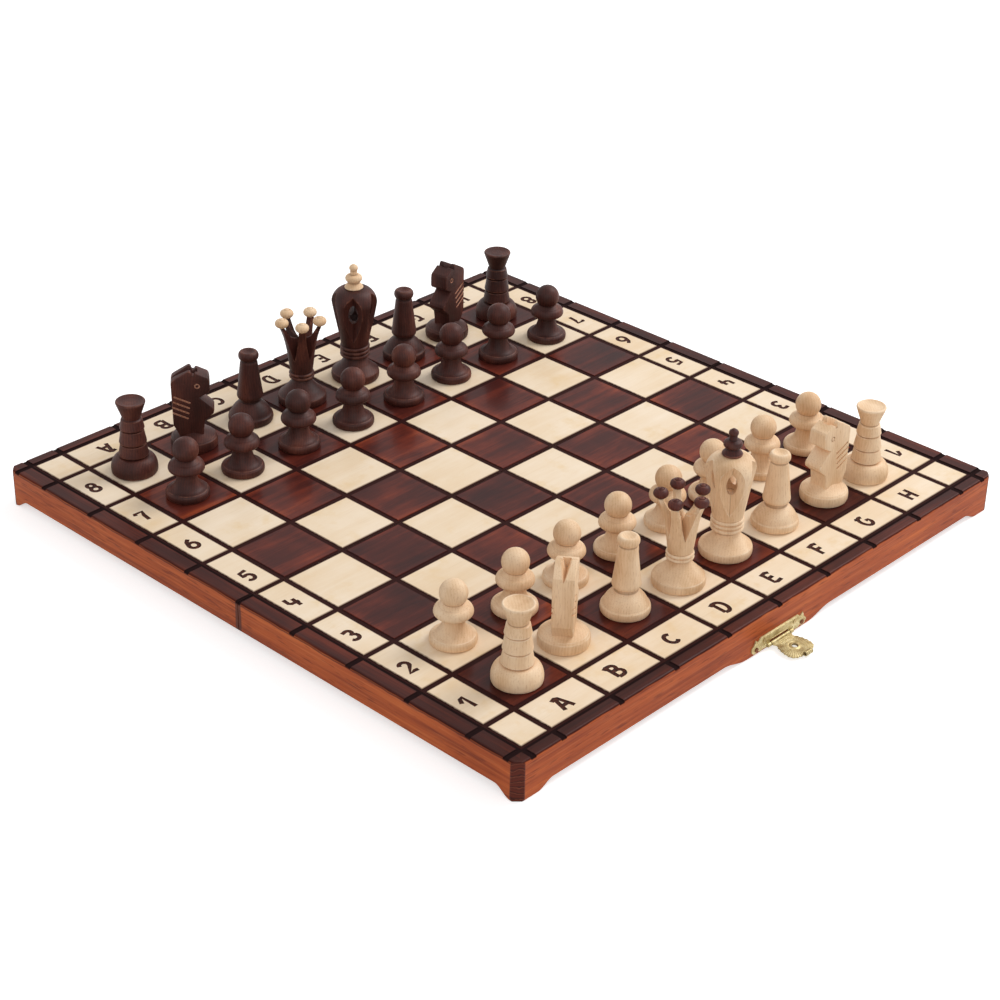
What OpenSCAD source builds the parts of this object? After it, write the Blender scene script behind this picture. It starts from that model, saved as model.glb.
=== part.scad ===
// Folding chess box: two shallow wooden halves hinged at the fold, opened flat as a board,
// with a brass hasp on the front wall and the 32 turned chessmen set up on the playing face.
// Millimetres. +Z is up, +X runs along the fold from file A to file H, and the front (the
// hasp side, rank 1) is -Y. The origin is on the table, at the centre of the whole footprint.

/* [Board] */
// Side of one playing square
square = 32.5; // [30:0.5:42]
// Width of the strip that carries the rank numbers, left and right of the field
number_strip = 16.5; // [12:0.5:24]
// Width of the strip that carries the file letters, front and back of the field
letter_strip = 19.5; // [12:0.5:26]
// Height of one half, from the table to the playing face
board_h = 18; // [16:0.5:28]
// Thickness of the playing panel
panel_t = 4; // [3:0.5:6]
// Gap all round the panel in its rebate
panel_fit = 0.1; // [0.05:0.05:0.3]
// Width of a scorched line
line_w = 2.8; // [1.5:0.1:4]
// Depth of a scorched line
line_d = 0.4; // [0.2:0.1:0.8]

/* [Walls] */
// Rim of a left or right wall that shows beside the panel
side_rim = 8.5; // [6:0.5:12]
// Rim of a front or back wall that shows beside the panel
end_rim = 6.5; // [5:0.5:12]
// Depth of the rebate that the panel lies on
ledge = 2.5; // [1.5:0.5:4]
// Thickness of the wall along the fold
hinge_wall_t = 8; // [7:0.5:14]
// Gap between the two halves at the fold
fold_gap = 0.4; // [0.2:0.1:1]
// How far the side walls are cut up from the table between foot and fold
side_rise = 4; // [3.6:0.1:5]
// How far the front and back walls are cut up from the table
end_rise = 3; // [1.5:0.5:4]
// Length of a corner foot along a side wall
side_foot = 12; // [12:0.5:24]
// Length of a corner foot along the front or back wall
end_foot = 11; // [11:0.5:24]
// Half length of the tongue under the clasp
tongue = 20; // [19.5:0.5:30]
// Length of the S-curve between a foot and the cut edge
curve_len = 8.5; // [4:0.5:12]
// Length of the long S-curve beside the clasp tongue
tongue_curve = 15; // [8:1:25]
// Chamfer on the four upright outer corners
corner_cut = 3.5; // [2:0.5:6]
// Number of interlocking fingers at a corner
fingers = 3; // [3:2:5]
// Thickness of the lath that divides a half inside
divider_t = 4; // [3:0.5:8]

/* [Hinges] */
// Distance of each hinge from the middle of the fold
hinge_x = 90; // [50:5:110]
// Length of a hinge along the fold
hinge_len = 30; // [20:2:40]
// Radius of the hinge barrel
barrel_r = 1.5; // [1.3:0.1:1.6]
// Radius of the hinge pin
pin_r = 0.7; // [0.5:0.05:0.8]
// Thickness of a hinge leaf
leaf_t = 0.8; // [0.5:0.1:0.8]
// Gap between the barrel and the table
barrel_lift = 0.3; // [0.2:0.1:0.4]
// Running clearance in knuckles and between them
run_fit = 0.05; // [0.03:0.01:0.1]
// Play along the pin between two knuckles
end_play = 0.3; // [0.2:0.1:0.5]
// Shank radius of every small nail
nail_r = 0.5; // [0.3:0.05:0.6]
// Head radius of every small nail
nail_head_r = 1.0; // [0.8:0.1:1.2]
// Length of a nail in the wood
nail_len = 5; // [3:0.5:5.5]

/* [Clasp] */
// Length of the clasp plate on the front wall
plate_len = 36; // [30:1:38]
// Top edge of the clasp plate above the table
plate_top = 7.6; // [7.6:0.2:12]
// Thickness of the clasp plate and of the catch plate
plate_t = 0.6; // [0.4:0.1:0.8]
// Length of the hasp from its pin to its tip
hasp_len = 15.5; // [14:0.5:20]
// Width of the hasp over its scallops
hasp_w = 15.5; // [14:0.5:18]
// Width of the hasp at its barrel
hasp_root = 12; // [10:0.5:12.5]
// Thickness of the hasp sheet
hasp_t = 0.5; // [0.4:0.1:0.6]
// Distance from the pin to the hole that drops over the stud
hasp_hole_at = 7.3; // [6.5:0.1:8]
// Radius of that hole
hasp_hole_r = 1.7; // [1.5:0.1:1.9]
// Outer radius of the clasp barrels
clasp_r = 0.9; // [0.8:0.05:1]
// Radius of the clasp pin
clasp_pin_r = 0.35; // [0.25:0.05:0.4]
// Height of the clasp pin above the table
clasp_z = 2.2; // [1.8:0.1:2.6]
// Droop of the hasp as it lies on the open board, in degrees
hasp_droop = 4; // [2:0.5:5]
// Radius of the stud on the catch plate
stud_r = 1.0; // [0.7:0.1:1.1]
// How far the stud stands out of its plate
stud_out = 1.7; // [1.5:0.1:2]
// Width of the catch plate
catch_w = 15; // [12:0.5:20]

/* [Chessmen] */
// Height of a pawn
pawn_h = 28; // [24:0.5:36]
// Height of a rook and of a bishop
rook_h = 35; // [30:0.5:44]
// Height of a knight
knight_h = 38.6; // [34:0.5:46]
// Height of a queen with her balls
queen_h = 44; // [38:0.5:52]
// Height of a king with his finial
king_h = 58.5; // [50:0.5:68]
// Base radius of a pawn
pawn_r = 9.7; // [8:0.1:13]
// Base radius of a rook, a knight and a bishop
officer_r = 10.4; // [9:0.1:13.5]
// Base radius of a king and a queen
royal_r = 11.45; // [10:0.05:14]
// Thickness of a knight's head
knight_t = 8.8; // [7:0.2:11]
// Gap under a standing man
man_seat = 0.1; // [0.05:0.05:0.3]

/* [Hidden] */
$fn = 48;
eps = 0.01;

// half sizes of the open board, measured from the middle of the fold
half_w = 4 * square + number_strip + side_rim;
half_d = 4 * square + letter_strip + end_rim;
panel_x = half_w - side_rim;
panel_y = half_d - end_rim;
side_in = panel_x - ledge;
end_in = panel_y - ledge;
side_t = side_rim + ledge;
end_t = end_rim + ledge;
under_panel = board_h - panel_t;
half_gap = fold_gap / 2;

// the fold axis lies low in the cut-away of the side walls, so the feet meet when it is shut
fold_z = barrel_r + barrel_lift;
leaf_z = side_rise - leaf_t;
leaf_w = hinge_wall_t - 0.6;
knuckles = 3;
knuckle_pitch = hinge_len / knuckles;

// clasp: the pin lies in front of the wall, far enough for the barrels to turn
clasp_y = half_d + clasp_r + 0.2;
barrel_half = hasp_root / 2;
ear_len = 2;
ear_gap = 0.15;
curl_r = 1.1;
nail_head_t = 0.4;
lobe_r = 1.2;
catch_in = 0.6;

// the whole footprint runs from the hasp's curl to the stud of the catch
curl_u = hasp_len - curl_r;
curl_w = curl_r - hasp_t / 2;
front_reach = clasp_y + curl_u * cos(hasp_droop) + curl_w * sin(hasp_droop) + curl_r;
back_reach = half_d + plate_t + stud_out;
fold_y = (front_reach - back_reach) / 2;

// where the stud has to sit on the back half so that the shut hasp's hole drops over it
feet_in = half_d - side_foot;
shut_tilt = 2 * asin((fold_z + 0.05) / feet_in);
stud_z = fold_z + (clasp_z - hasp_hole_at - fold_z + half_d * sin(shut_tilt)) / -cos(shut_tilt);

// colours, as the photograph shows them
STAIN = "#a4512e";
RIM = "#3f2b30";
CREAM = "#ead6b4";
BRASS = "#c9b982";
LIGHT = "#dcbd8f";
DARK = "#4a2e25";

// ---------- frames and curves ----------

// the front half is drawn with the fold at y = 0 and its wall at negative y
module on_front() {
    translate([0, fold_y, 0]) children();
}

module on_back() {
    translate([0, fold_y, 0]) mirror([0, 1, 0]) children();
}

// points of an S-curve from p to q, level at both ends
function s_curve(p, q, n = 8) =
    [for (i = [0 : n]) [p.x + (q.x - p.x) * i / n,
                        p.y + (q.y - p.y) * (1 - cos(180 * i / n)) / 2]];

// points on an ellipse about c, radii rx and rz, from angle a to angle b
function bow(c, rx, rz, a, b, n = 6) =
    [for (i = [0 : n]) c + [rx * cos(a + (b - a) * i / n), rz * sin(a + (b - a) * i / n)]];

// the same points on the other side of the upright axis, in reverse order
function mirrored(points) = [for (i = [len(points) - 1 : -1 : 0]) [-points[i].x, points[i].y]];

// a block by its two corners
module block(p, q) {
    translate(p) cube(q - p);
}

// ---------- wooden walls ----------

// outline of a side wall: length along the fold direction (negative), height up
module side_outline() {
    far = -half_d;
    foot = far + side_foot - curve_len;
    polygon(concat(
        [[far, board_h], [far, 0]],
        s_curve([foot, 0], [foot + curve_len, side_rise]),
        [[-half_gap, side_rise], [-half_gap, board_h]]
    ));
}

// outline of a front wall: both halves of its cut edge, then the straight top
module end_outline() {
    foot = half_w - end_foot;
    right = concat(
        s_curve([tongue, 0], [tongue + tongue_curve, end_rise]),
        s_curve([foot - curve_len, end_rise], [foot, 0]),
        [[half_w, 0], [half_w, board_h]]
    );
    polygon(concat(right, mirrored(right)));
}

// the finger layers that belong to the side wall (odd = 0) or to the front wall (odd = 1)
module finger_slots(odd) {
    layer = board_h / fingers;
    for (i = [0 : fingers - 1]) {
        if (i % 2 != odd) {
            low = i == 0 ? -eps : i * layer;
            high = i == fingers - 1 ? board_h + eps : (i + 1) * layer;
            block([half_w - side_t, -half_d - eps, low], [half_w + eps, -half_d + end_t, high]);
        }
    }
}

// upright chamfer at the right outer corner of the front half
module corner_chamfer() {
    translate([half_w, -half_d, -1])
        rotate([0, 0, 45])
            cube([corner_cut * sqrt(2), corner_cut * sqrt(2), 2 * (board_h + 2)], center = true);
}

// rebate that takes the panel
module rebate() {
    block([-panel_x, -panel_y, under_panel], [panel_x, 1, board_h + 1]);
}

// the scorched grid: it crosses the strips and the rims, and its last lines cover the panel's joint
module scorched_lines() {
    low = board_h - line_d;
    high = board_h + 1;
    half = line_w / 2;
    for (x = concat([-panel_x], [for (file = [-4 : 4]) file * square], [panel_x])) {
        block([x - half, -half_d - 1, low], [x + half, 1, high]);
    }
    for (y = concat([for (rank = [0 : 4]) -rank * square], [-panel_y])) {
        block([-half_w - 1, y - half, low], [half_w + 1, y + half, high]);
    }
}

// right side wall of the front half
module side_wall() {
    difference() {
        translate([half_w - side_t, 0, 0])
            rotate([90, 0, 90])
                linear_extrude(side_t) side_outline();
        rebate();
        scorched_lines();
        corner_chamfer();
        finger_slots(0);
    }
}

// front wall, with its tongue under the clasp and bores for the clasp's nails
module end_wall(nails) {
    difference() {
        translate([0, -half_d + end_t, 0])
            rotate([90, 0, 0])
                linear_extrude(end_t) end_outline();
        rebate();
        scorched_lines();
        for (side = [0, 1]) {
            mirror([side, 0, 0]) {
                corner_chamfer();
                finger_slots(1);
            }
        }
        for (p = nails) {
            translate([p.x, -half_d - eps, p.y])
                rotate([-90, 0, 0]) cylinder(r = nail_r + run_fit, h = nail_len + 0.5);
        }
    }
}

// wall along the fold, between the side walls, with bores for the hinge nails
module hinge_wall() {
    difference() {
        block([-side_in, -half_gap - hinge_wall_t, side_rise], [side_in, -half_gap, under_panel]);
        hinge_nail_places()
            translate([0, 0, side_rise - eps]) cylinder(r = nail_r + run_fit, h = nail_len + 0.5);
    }
}

// lath that divides the inside of a half in two
module divider() {
    block([-divider_t / 2, -end_in, side_rise], [divider_t / 2, -half_gap - hinge_wall_t, under_panel]);
}

// playing panel with its scorched lines; half of the field, four ranks deep
module panel() {
    edge_x = panel_x - panel_fit;
    edge_y = panel_y - panel_fit;
    difference() {
        block([-edge_x, -edge_y, under_panel], [edge_x, -half_gap, board_h]);
        scorched_lines();
    }
}

// ---------- hinges ----------

// one knuckle of the barrel, bored for the pin
module knuckle(from, to, bore) {
    translate([from, 0, fold_z])
        rotate([0, 90, 0])
            difference() {
                cylinder(r = barrel_r, h = to - from);
                translate([0, 0, -1]) cylinder(r = bore, h = to - from + 2);
            }
}

module hinge_nail_places() {
    for (hinge = [-1, 1]) {
        for (i = [-1, 0, 1]) {
            translate([hinge * hinge_x + i * knuckle_pitch, -half_gap - leaf_w * 0.6, 0]) children();
        }
    }
}

// leaf under the hinge wall of the front half; mine lists the knuckles that it carries
module leaf(mine) {
    start = -hinge_len / 2;
    clear = barrel_r + 0.5;
    difference() {
        union() {
            block([start, -half_gap - leaf_w, leaf_z], [-start, -clear, leaf_z + leaf_t]);
            for (i = mine) {
                from = start + i * knuckle_pitch + (i == 0 ? 0 : end_play / 2);
                to = start + (i + 1) * knuckle_pitch - (i == knuckles - 1 ? 0 : end_play / 2);
                block([from, -clear - eps, leaf_z], [to, -half_gap, leaf_z + leaf_t]);
                block([from, -barrel_r, fold_z], [to, -pin_r - run_fit - 0.15, leaf_z + eps]);
                knuckle(from, to, pin_r + run_fit);
            }
        }
        for (i = [-1, 0, 1]) {
            translate([i * knuckle_pitch, -half_gap - leaf_w * 0.6, leaf_z - 1])
                cylinder(r = nail_r + run_fit, h = leaf_t + 2);
        }
    }
}

module leaves(mine) {
    for (hinge = [-1, 1]) {
        translate([hinge * hinge_x, 0, 0]) leaf(mine);
    }
}

// small round-headed nail, driven upwards, its head against z = 0
module nail() {
    translate([0, 0, -nail_head_t]) cylinder(r = nail_head_r, h = nail_head_t);
    cylinder(r = nail_r, h = nail_len);
}

module leaf_nails() {
    hinge_nail_places() translate([0, 0, leaf_z]) nail();
}

// ---------- clasp ----------

clasp_nail_outer = [plate_len / 2 - 3, clasp_z + 0.8];
clasp_nail_inner = [barrel_half + ear_len + 1.9, plate_top - 2.1];
clasp_nail_at = [for (p = [clasp_nail_outer, clasp_nail_inner], side = [-1, 1]) [side * p.x, p.y]];
catch_nail_at = [[-catch_w / 2 + 1.9, stud_z], [catch_w / 2 - 1.9, stud_z]];

// bore for a nail through a plate on the front face of the wall
module nail_bore(p) {
    translate([p.x, -half_d + 1, p.y])
        rotate([90, 0, 0]) cylinder(r = nail_r + run_fit, h = plate_t + 2);
}

module plate_nail(p) {
    translate([p.x, -half_d - plate_t, p.y]) rotate([-90, 0, 0]) nail();
}

// outline of the clasp plate: straight top, two points at each end and a lobed foot
module plate_outline() {
    tip = plate_len / 2;
    low = clasp_z - 1.2;
    right = [
        [tip - 5.4, plate_top], [tip - 4.2, plate_top - 1.3],
        [tip - 2.4, plate_top], [tip - 1.6, plate_top - 2.2], [tip, clasp_z + 1.6],
        [tip - 0.9, low + 0.5], [tip - 2.2, low], [tip - 4, low + 0.7], [tip - 6.4, low]
    ];
    polygon(concat(right, mirrored(right)));
}

// plate on the front wall, slotted for the hasp's barrel, with an ear for the pin on each side
module plate() {
    slot = barrel_half + ear_gap;
    difference() {
        union() {
            difference() {
                translate([0, -half_d, 0])
                    rotate([90, 0, 0])
                        linear_extrude(plate_t) plate_outline();
                block([-slot, -half_d - 1 - plate_t, 0], [slot, -half_d + 1, clasp_z + clasp_r + 0.5]);
                for (p = clasp_nail_at) {
                    nail_bore(p);
                }
            }
            for (side = [-1, 1]) {
                x = side * (slot + ear_len / 2);
                translate([x - ear_len / 2, -clasp_y, clasp_z])
                    rotate([0, 90, 0]) cylinder(r = clasp_r, h = ear_len);
                block([x - ear_len / 2, -clasp_y, clasp_z - clasp_r],
                      [x + ear_len / 2, -half_d - plate_t / 2, clasp_z + clasp_r]);
            }
        }
        translate([-plate_len / 2, -clasp_y, clasp_z])
            rotate([0, 90, 0]) cylinder(r = clasp_pin_r + run_fit, h = plate_len);
    }
}

// flat outline of the hasp, pin at the origin and tip along +Y: neck, scalloped shell, tab
module hasp_outline() {
    shell_r = hasp_w / 2 - lobe_r;
    shell_y = hasp_len - 2 - hasp_w / 2;
    lobes = 9;
    difference() {
        union() {
            translate([-hasp_root / 2, 0]) square([hasp_root, shell_y]);
            translate([0, shell_y]) circle(r = shell_r + 0.3);
            for (i = [0 : lobes - 1]) {
                a = 180 * i / (lobes - 1);
                translate([shell_r * cos(a), shell_y + shell_r * sin(a)]) circle(r = lobe_r);
            }
            translate([-2, shell_y]) square([4, curl_u - shell_y]);
        }
        translate([0, hasp_hole_at]) circle(r = hasp_hole_r);
    }
}

// hasp as it lies on the open board, drooping from its pin to the table
module hasp() {
    translate([0, -clasp_y, clasp_z])
        rotate([hasp_droop, 0, 0])
            difference() {
                union() {
                    difference() {
                        translate([0, 0, -hasp_t / 2])
                            mirror([0, 1, 0]) linear_extrude(hasp_t) hasp_outline();
                        block([-hasp_w, -clasp_r, -1], [hasp_w, hasp_w, 1]);
                    }
                    block([-barrel_half, -clasp_r - eps, -hasp_t / 2],
                          [barrel_half, -clasp_pin_r - 0.2, hasp_t / 2]);
                    translate([-barrel_half, 0, 0]) rotate([0, 90, 0]) cylinder(r = clasp_r, h = hasp_root);
                    translate([-2, -curl_u, curl_w]) rotate([0, 90, 0]) cylinder(r = curl_r, h = 4);
                }
                translate([-hasp_root, 0, 0])
                    rotate([0, 90, 0]) cylinder(r = clasp_pin_r + run_fit, h = 2 * hasp_root);
            }
}

// catch plate with its stud, drawn on the front wall and mirrored to the back one
module catch() {
    translate([0, -half_d, stud_z]) {
        difference() {
            rotate([90, 0, 0])
                linear_extrude(plate_t) {
                    square([catch_w - 4, 2 * stud_z - 2 * catch_in], center = true);
                    for (side = [-1, 1]) {
                        translate([side * (catch_w / 2 - 2), 0]) circle(r = 2);
                    }
                }
            for (side = [-1, 1]) {
                translate([side * (catch_w / 2 - 1.9), 1, 0])
                    rotate([90, 0, 0]) cylinder(r = nail_r + run_fit, h = plate_t + 2);
            }
        }
        rotate([90, 0, 0]) cylinder(r = stud_r, h = plate_t + stud_out);
    }
}

// ---------- chessmen ----------
// Each man is drawn on its own axis with its foot at z = 0; s is its height against the drawn one.

// turned body from a half outline of [radius, height] points
module turned(points) {
    rotate_extrude() polygon(points);
}

// rounded foot: radius r, edge height h, domed in to radius neck at height top
function foot(r, h, neck, top) = concat(
    [[0, 0], [r - 0.7, 0]],
    bow([r - 0.7, h / 2], 0.7, h / 2, -60, 60, 4),
    bow([neck, h], r - 0.7 - neck, top - h, 12, 78, 5)
);

module pawn() {
    s = pawn_h / 28;
    ball = 5.8 * s;
    neck = 4.2 * s;
    ball_z = pawn_h - ball;
    turned(concat(
        [[0, 0], [pawn_r - 0.6, 0]],
        bow([pawn_r - 0.6, 1.6 * s], 0.6, 1.6 * s, -60, 60, 4),
        bow([pawn_r - 0.9, 12 * s], pawn_r - 0.9 - neck, 8.4 * s, -90, -180, 7),
        bow([5.65 * s, 14.3 * s], 2.4 * s, 2.4 * s, -80, 80, 8),
        bow([0, ball_z], ball, ball, -acos(neck / ball), 90, 12)
    ));
}

module bishop() {
    s = rook_h / 35.3;
    turned(concat(
        foot(officer_r, 4 * s, 5.4 * s, 9.6 * s),
        [[4.75 * s, 10.4 * s], [4.75 * s, 11.4 * s]],
        bow([5 * s, 13.2 * s], 1.05 * s, 1.6 * s, -80, 20, 5),
        [[3.9 * s, 30.4 * s], [4.5 * s, 30.8 * s]],
        bow([0, 31.8 * s], 4.7 * s, rook_h - 31.8 * s, 0, 90, 7)
    ));
}

module rook() {
    s = rook_h / 35.3;
    groove = 0.35 * s;
    function wall_r(z) = s * (6.5 - 1.75 * (z - 8.1) / 19.3);
    function ring(z) = [[wall_r(z), (z - 0.6) * s], [wall_r(z) - groove, z * s], [wall_r(z), (z + 0.6) * s]];
    turned(concat(
        foot(officer_r, 5 * s, 6.6 * s, 8.1 * s),
        [[wall_r(8.1) - groove, 8.1 * s]],
        ring(14.5),
        ring(21.3),
        [[wall_r(27) , 26.6 * s], [wall_r(27) - groove, 27.2 * s], [4.9 * s, 27.8 * s]],
        [[6.45 * s, rook_h - 1.2 * s]],
        bow([6 * s, rook_h - 0.7 * s], 0.65 * s, 0.7 * s, -20, 90, 4),
        [[5.2 * s, rook_h - 0.5 * s], [0, rook_h - 0.8 * s]]
    ));
}

// side outline of the knight's head, muzzle towards +X
module knight_outline(s) {
    polygon(s * [
        [-8.6, 10], [-9.1, 12], [-9.1, 33.2], [-8.2, 35], [-1.2, 39], [0.4, 38.6], [1.6, 37],
        [3.2, 37.8], [7.4, 35.4], [8.1, 33.6], [8.1, 28.8], [3.4, 25.8], [9.4, 20.2],
        [9.7, 19.2], [9.4, 17.8], [5.2, 13.9], [4.6, 10]
    ]);
}

module knight() {
    s = knight_h / 39;
    eye_r = 1.25 * s;
    difference() {
        union() {
            turned(concat(
                foot(officer_r + 0.3, 4.6 * s, 7 * s, 9.6 * s),
                [[6.9 * s, 10.6 * s], [6.3 * s, 11.2 * s], [0, 11.2 * s]]
            ));
            translate([0, knight_t / 2, 0]) rotate([90, 0, 0]) linear_extrude(knight_t) knight_outline(s);
        }
        // V cut that parts the two ears
        translate([3 * s, 0, 34.2 * s])
            rotate([90, 0, -90])
                linear_extrude(8.5 * s) polygon([[0, 0], [3.2 * s, 6 * s], [-3.2 * s, 6 * s]]);
        for (side = [-1, 1]) {
            // drilled ring of the eye
            translate([2.5 * s, side * knight_t / 2, 31.6 * s])
                rotate([90, 0, 0])
                    difference() {
                        cylinder(r = eye_r, h = 0.8, center = true);
                        cylinder(r = eye_r * 0.45, h = 1, center = true);
                    }
            // slanted saw cuts of the mane
            for (i = [0 : 3]) {
                translate([(-2.6 - 0.5 * i) * s, side * knight_t / 2, (25 - 2.5 * i) * s])
                    rotate([0, 25, 0]) cube([7 * s, 0.8, 1.0 * s], center = true);
            }
        }
    }
}

// crown of five points, cut by V notches; the balls sit on the points
queen_points = 5;
ball_r = 3.2;
ball_h = 5.2;

module queen() {
    s = queen_h / 44;
    tip_z = queen_h - ball_h + 0.3;
    difference() {
        turned(concat(
            foot(royal_r, 5.2 * s, 4.9 * s, 10.8 * s),
            [[4.3 * s, 11.6 * s]],
            bow([4.9 * s, 12.9 * s], 1.05 * s, 0.85 * s, -80, 80, 4),
            bow([4.9 * s, 14.6 * s], 1.05 * s, 0.85 * s, -80, 80, 4),
            [[5.3 * s, 15.6 * s], [6.5 * s, 26 * s], [8.1 * s, 33.5 * s], [10.2 * s, tip_z],
             [8.2 * s, tip_z], [5.2 * s, 33.6 * s], [0, 32.4 * s]]
        ));
        for (i = [0 : queen_points - 1]) {
            rotate([0, 0, queen_turn + 180 / queen_points + i * 360 / queen_points])
                translate([3 * s, 0, 0])
                    rotate([90, 0, 90])
                        linear_extrude(9 * s)
                            polygon([[0, 27 * s], [0.9 * s, 33 * s], [4.6 * s, tip_z + 1],
                                     [-4.6 * s, tip_z + 1], [-0.9 * s, 33 * s]]);
        }
    }
}

// one ball of the crown: a flattened turned bead with a flat seat
module queen_balls() {
    s = queen_h / 44;
    tip_z = queen_h - ball_h + 0.3;
    for (i = [0 : queen_points - 1]) {
        rotate([0, 0, queen_turn + i * 360 / queen_points])
            translate([9.2 * s, 0, tip_z + run_fit])
                turned(concat(
                    [[0, 0]],
                    bow([0, ball_h / 2 - 0.3], ball_r, ball_h / 2 - run_fit, -60, 90, 9)
                ));
    }
}

// the points of the crowns are turned so that one looks to the front left corner
queen_turn = -137;

king_windows = 5;
king_bore_r = 4;

module king() {
    s = king_h / 58.5;
    cutter_r = 11 * s;
    difference() {
        turned(concat(
            foot(royal_r + 0.1, 5 * s, 6.4 * s, 10.4 * s),
            [[5.8 * s, 11.2 * s]],
            bow([6.2 * s, 12.5 * s], 0.95 * s, 0.95 * s, -80, 80, 4),
            bow([6.2 * s, 14.5 * s], 0.95 * s, 0.95 * s, -80, 80, 4),
            bow([6.2 * s, 16.5 * s], 0.95 * s, 0.95 * s, -80, 80, 4),
            [[6.6 * s, 17.6 * s], [7.3 * s, 22 * s], [8.6 * s, 28 * s], [10 * s, 34 * s]],
            bow([4.4 * s, 39 * s], 6.6 * s, 7.5 * s, -5, 84, 8),
            [[0, 46.5 * s]]
        ));
        translate([0, 0, 26 * s]) cylinder(r = king_bore_r * s, h = 30 * s);
        // a wheel with a sharp rim cuts each window
        for (i = [0 : king_windows - 1]) {
            rotate([0, 0, king_turn + i * 360 / king_windows])
                translate([cutter_r, 0, 34.5 * s])
                    rotate([90, 0, 0])
                        turned([[0, -5 * s], [cutter_r, 0], [0, 5 * s]]);
        }
    }
}

// one window looks to the front left corner
king_turn = -137;

module king_finial() {
    s = king_h / 58.5;
    seat = 46.5 * s + run_fit;
    turned(concat(
        [[0, 42 * s], [(king_bore_r - 0.4) * s, 42 * s], [king_bore_r * s - run_fit, 42.4 * s],
         [king_bore_r * s - run_fit, seat], [4.4 * s, seat], [4.2 * s, 47.4 * s], [2.1 * s, 50.2 * s]],
        bow([2.6 * s, 51.9 * s], 1.65 * s, 1.2 * s, -80, 80, 5),
        [[1.5 * s, 53.6 * s], [1.3 * s, 54.6 * s]],
        bow([0, king_h - 2 * s], 1.85 * s, 2 * s, -40, 90, 6)
    ));
}

// stands a man on its square: file 0..7 from A, rank 0..7 from the front edge of the field,
// nudged by the hand that set it there, and turned to the azimuth look
module stand(file, rank, nudge = [0, 0], look = 0) {
    translate([(file - 3.5) * square + nudge.x, (rank - 3.5) * square + nudge.y + fold_y, board_h + man_seat])
        rotate([0, 0, look]) children();
}

// ---------- nodes ----------

module front_panel() { color(CREAM) on_front() panel(); }
module back_panel() { color(CREAM) on_back() panel(); }
module front_wall() { color(STAIN) on_front() end_wall(clasp_nail_at); }
module back_wall() { color(STAIN) on_back() end_wall(catch_nail_at); }
module front_right_wall() { color(STAIN) on_front() side_wall(); }
module front_left_wall() { color(STAIN) on_front() mirror([1, 0, 0]) side_wall(); }
module back_right_wall() { color(STAIN) on_back() side_wall(); }
module back_left_wall() { color(STAIN) on_back() mirror([1, 0, 0]) side_wall(); }
module front_hinge_wall() { color(RIM) on_front() hinge_wall(); }
module back_hinge_wall() { color(RIM) on_back() hinge_wall(); }
module front_divider() { color(CREAM) on_front() divider(); }
module back_divider() { color(CREAM) on_back() divider(); }
module front_hinge_leaves() { color(BRASS) on_front() leaves([0, 2]); }
module back_hinge_leaves() { color(BRASS) on_back() leaves([1]); }
module front_hinge_nails() { color(BRASS) on_front() leaf_nails(); }
module back_hinge_nails() { color(BRASS) on_back() leaf_nails(); }

module hinge_pins() {
    color(BRASS)
        for (hinge = [-1, 1]) {
            translate([hinge * hinge_x - hinge_len / 2, fold_y, fold_z])
                rotate([0, 90, 0]) cylinder(r = pin_r, h = hinge_len);
        }
}

module clasp_plate() { color(BRASS) on_front() plate(); }
module clasp_hasp() { color(BRASS) on_front() hasp(); }

module clasp_pin() {
    half = barrel_half + ear_gap + ear_len;
    color(BRASS)
        on_front()
            translate([-half, -clasp_y, clasp_z])
                rotate([0, 90, 0]) cylinder(r = clasp_pin_r, h = 2 * half);
}

module clasp_nails() {
    color(BRASS)
        on_front()
            for (p = clasp_nail_at) {
                plate_nail(p);
            }
}

module catch_plate() { color(BRASS) on_back() catch(); }

module catch_nails() {
    color(BRASS)
        on_back()
            for (p = catch_nail_at) {
                plate_nail(p);
            }
}

front_panel();
back_panel();
front_wall();
back_wall();
front_left_wall();
front_right_wall();
back_left_wall();
back_right_wall();
front_hinge_wall();
back_hinge_wall();
front_divider();
back_divider();
front_hinge_leaves();
back_hinge_leaves();
hinge_pins();
front_hinge_nails();
back_hinge_nails();
clasp_plate();
clasp_pin();
clasp_nails();
clasp_hasp();
catch_plate();
catch_nails();

// the light men, on ranks 1 and 2
color(LIGHT) stand(0, 0, [-1.5, -4]) rook();  // light_rook_a
color(LIGHT) stand(1, 0, [-2, 1], 43) knight();  // light_knight_b
color(LIGHT) stand(2, 0, [0.5, -0.5]) bishop();  // light_bishop_c
color(LIGHT) stand(3, 0, [-0.5, -2]) queen();  // light_queen
color(DARK) stand(3, 0, [-0.5, -2]) queen_balls();  // light_queen_balls
color(LIGHT) stand(4, 0) king();  // light_king
color(DARK) stand(4, 0) king_finial();  // light_king_finial
color(LIGHT) stand(5, 0, [0.5, -0.5]) bishop();  // light_bishop_f
color(LIGHT) stand(6, 0, [1.5, -1.5], 177) knight();  // light_knight_g
color(LIGHT) stand(7, 0, [-2, -2.5]) rook();  // light_rook_h
color(LIGHT) stand(0, 1, [0.5, 0]) pawn();  // light_pawn_a
color(LIGHT) stand(1, 1, [2, -1]) pawn();  // light_pawn_b
color(LIGHT) stand(2, 1, [0.5, -0.5]) pawn();  // light_pawn_c
color(LIGHT) stand(3, 1) pawn();  // light_pawn_d
color(LIGHT) stand(4, 1) pawn();  // light_pawn_e
color(LIGHT) stand(5, 1, [-1, 1.5]) pawn();  // light_pawn_f
color(LIGHT) stand(6, 1) pawn();  // light_pawn_g
color(LIGHT) stand(7, 1, [-0.5, -0.5]) pawn();  // light_pawn_h

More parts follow.
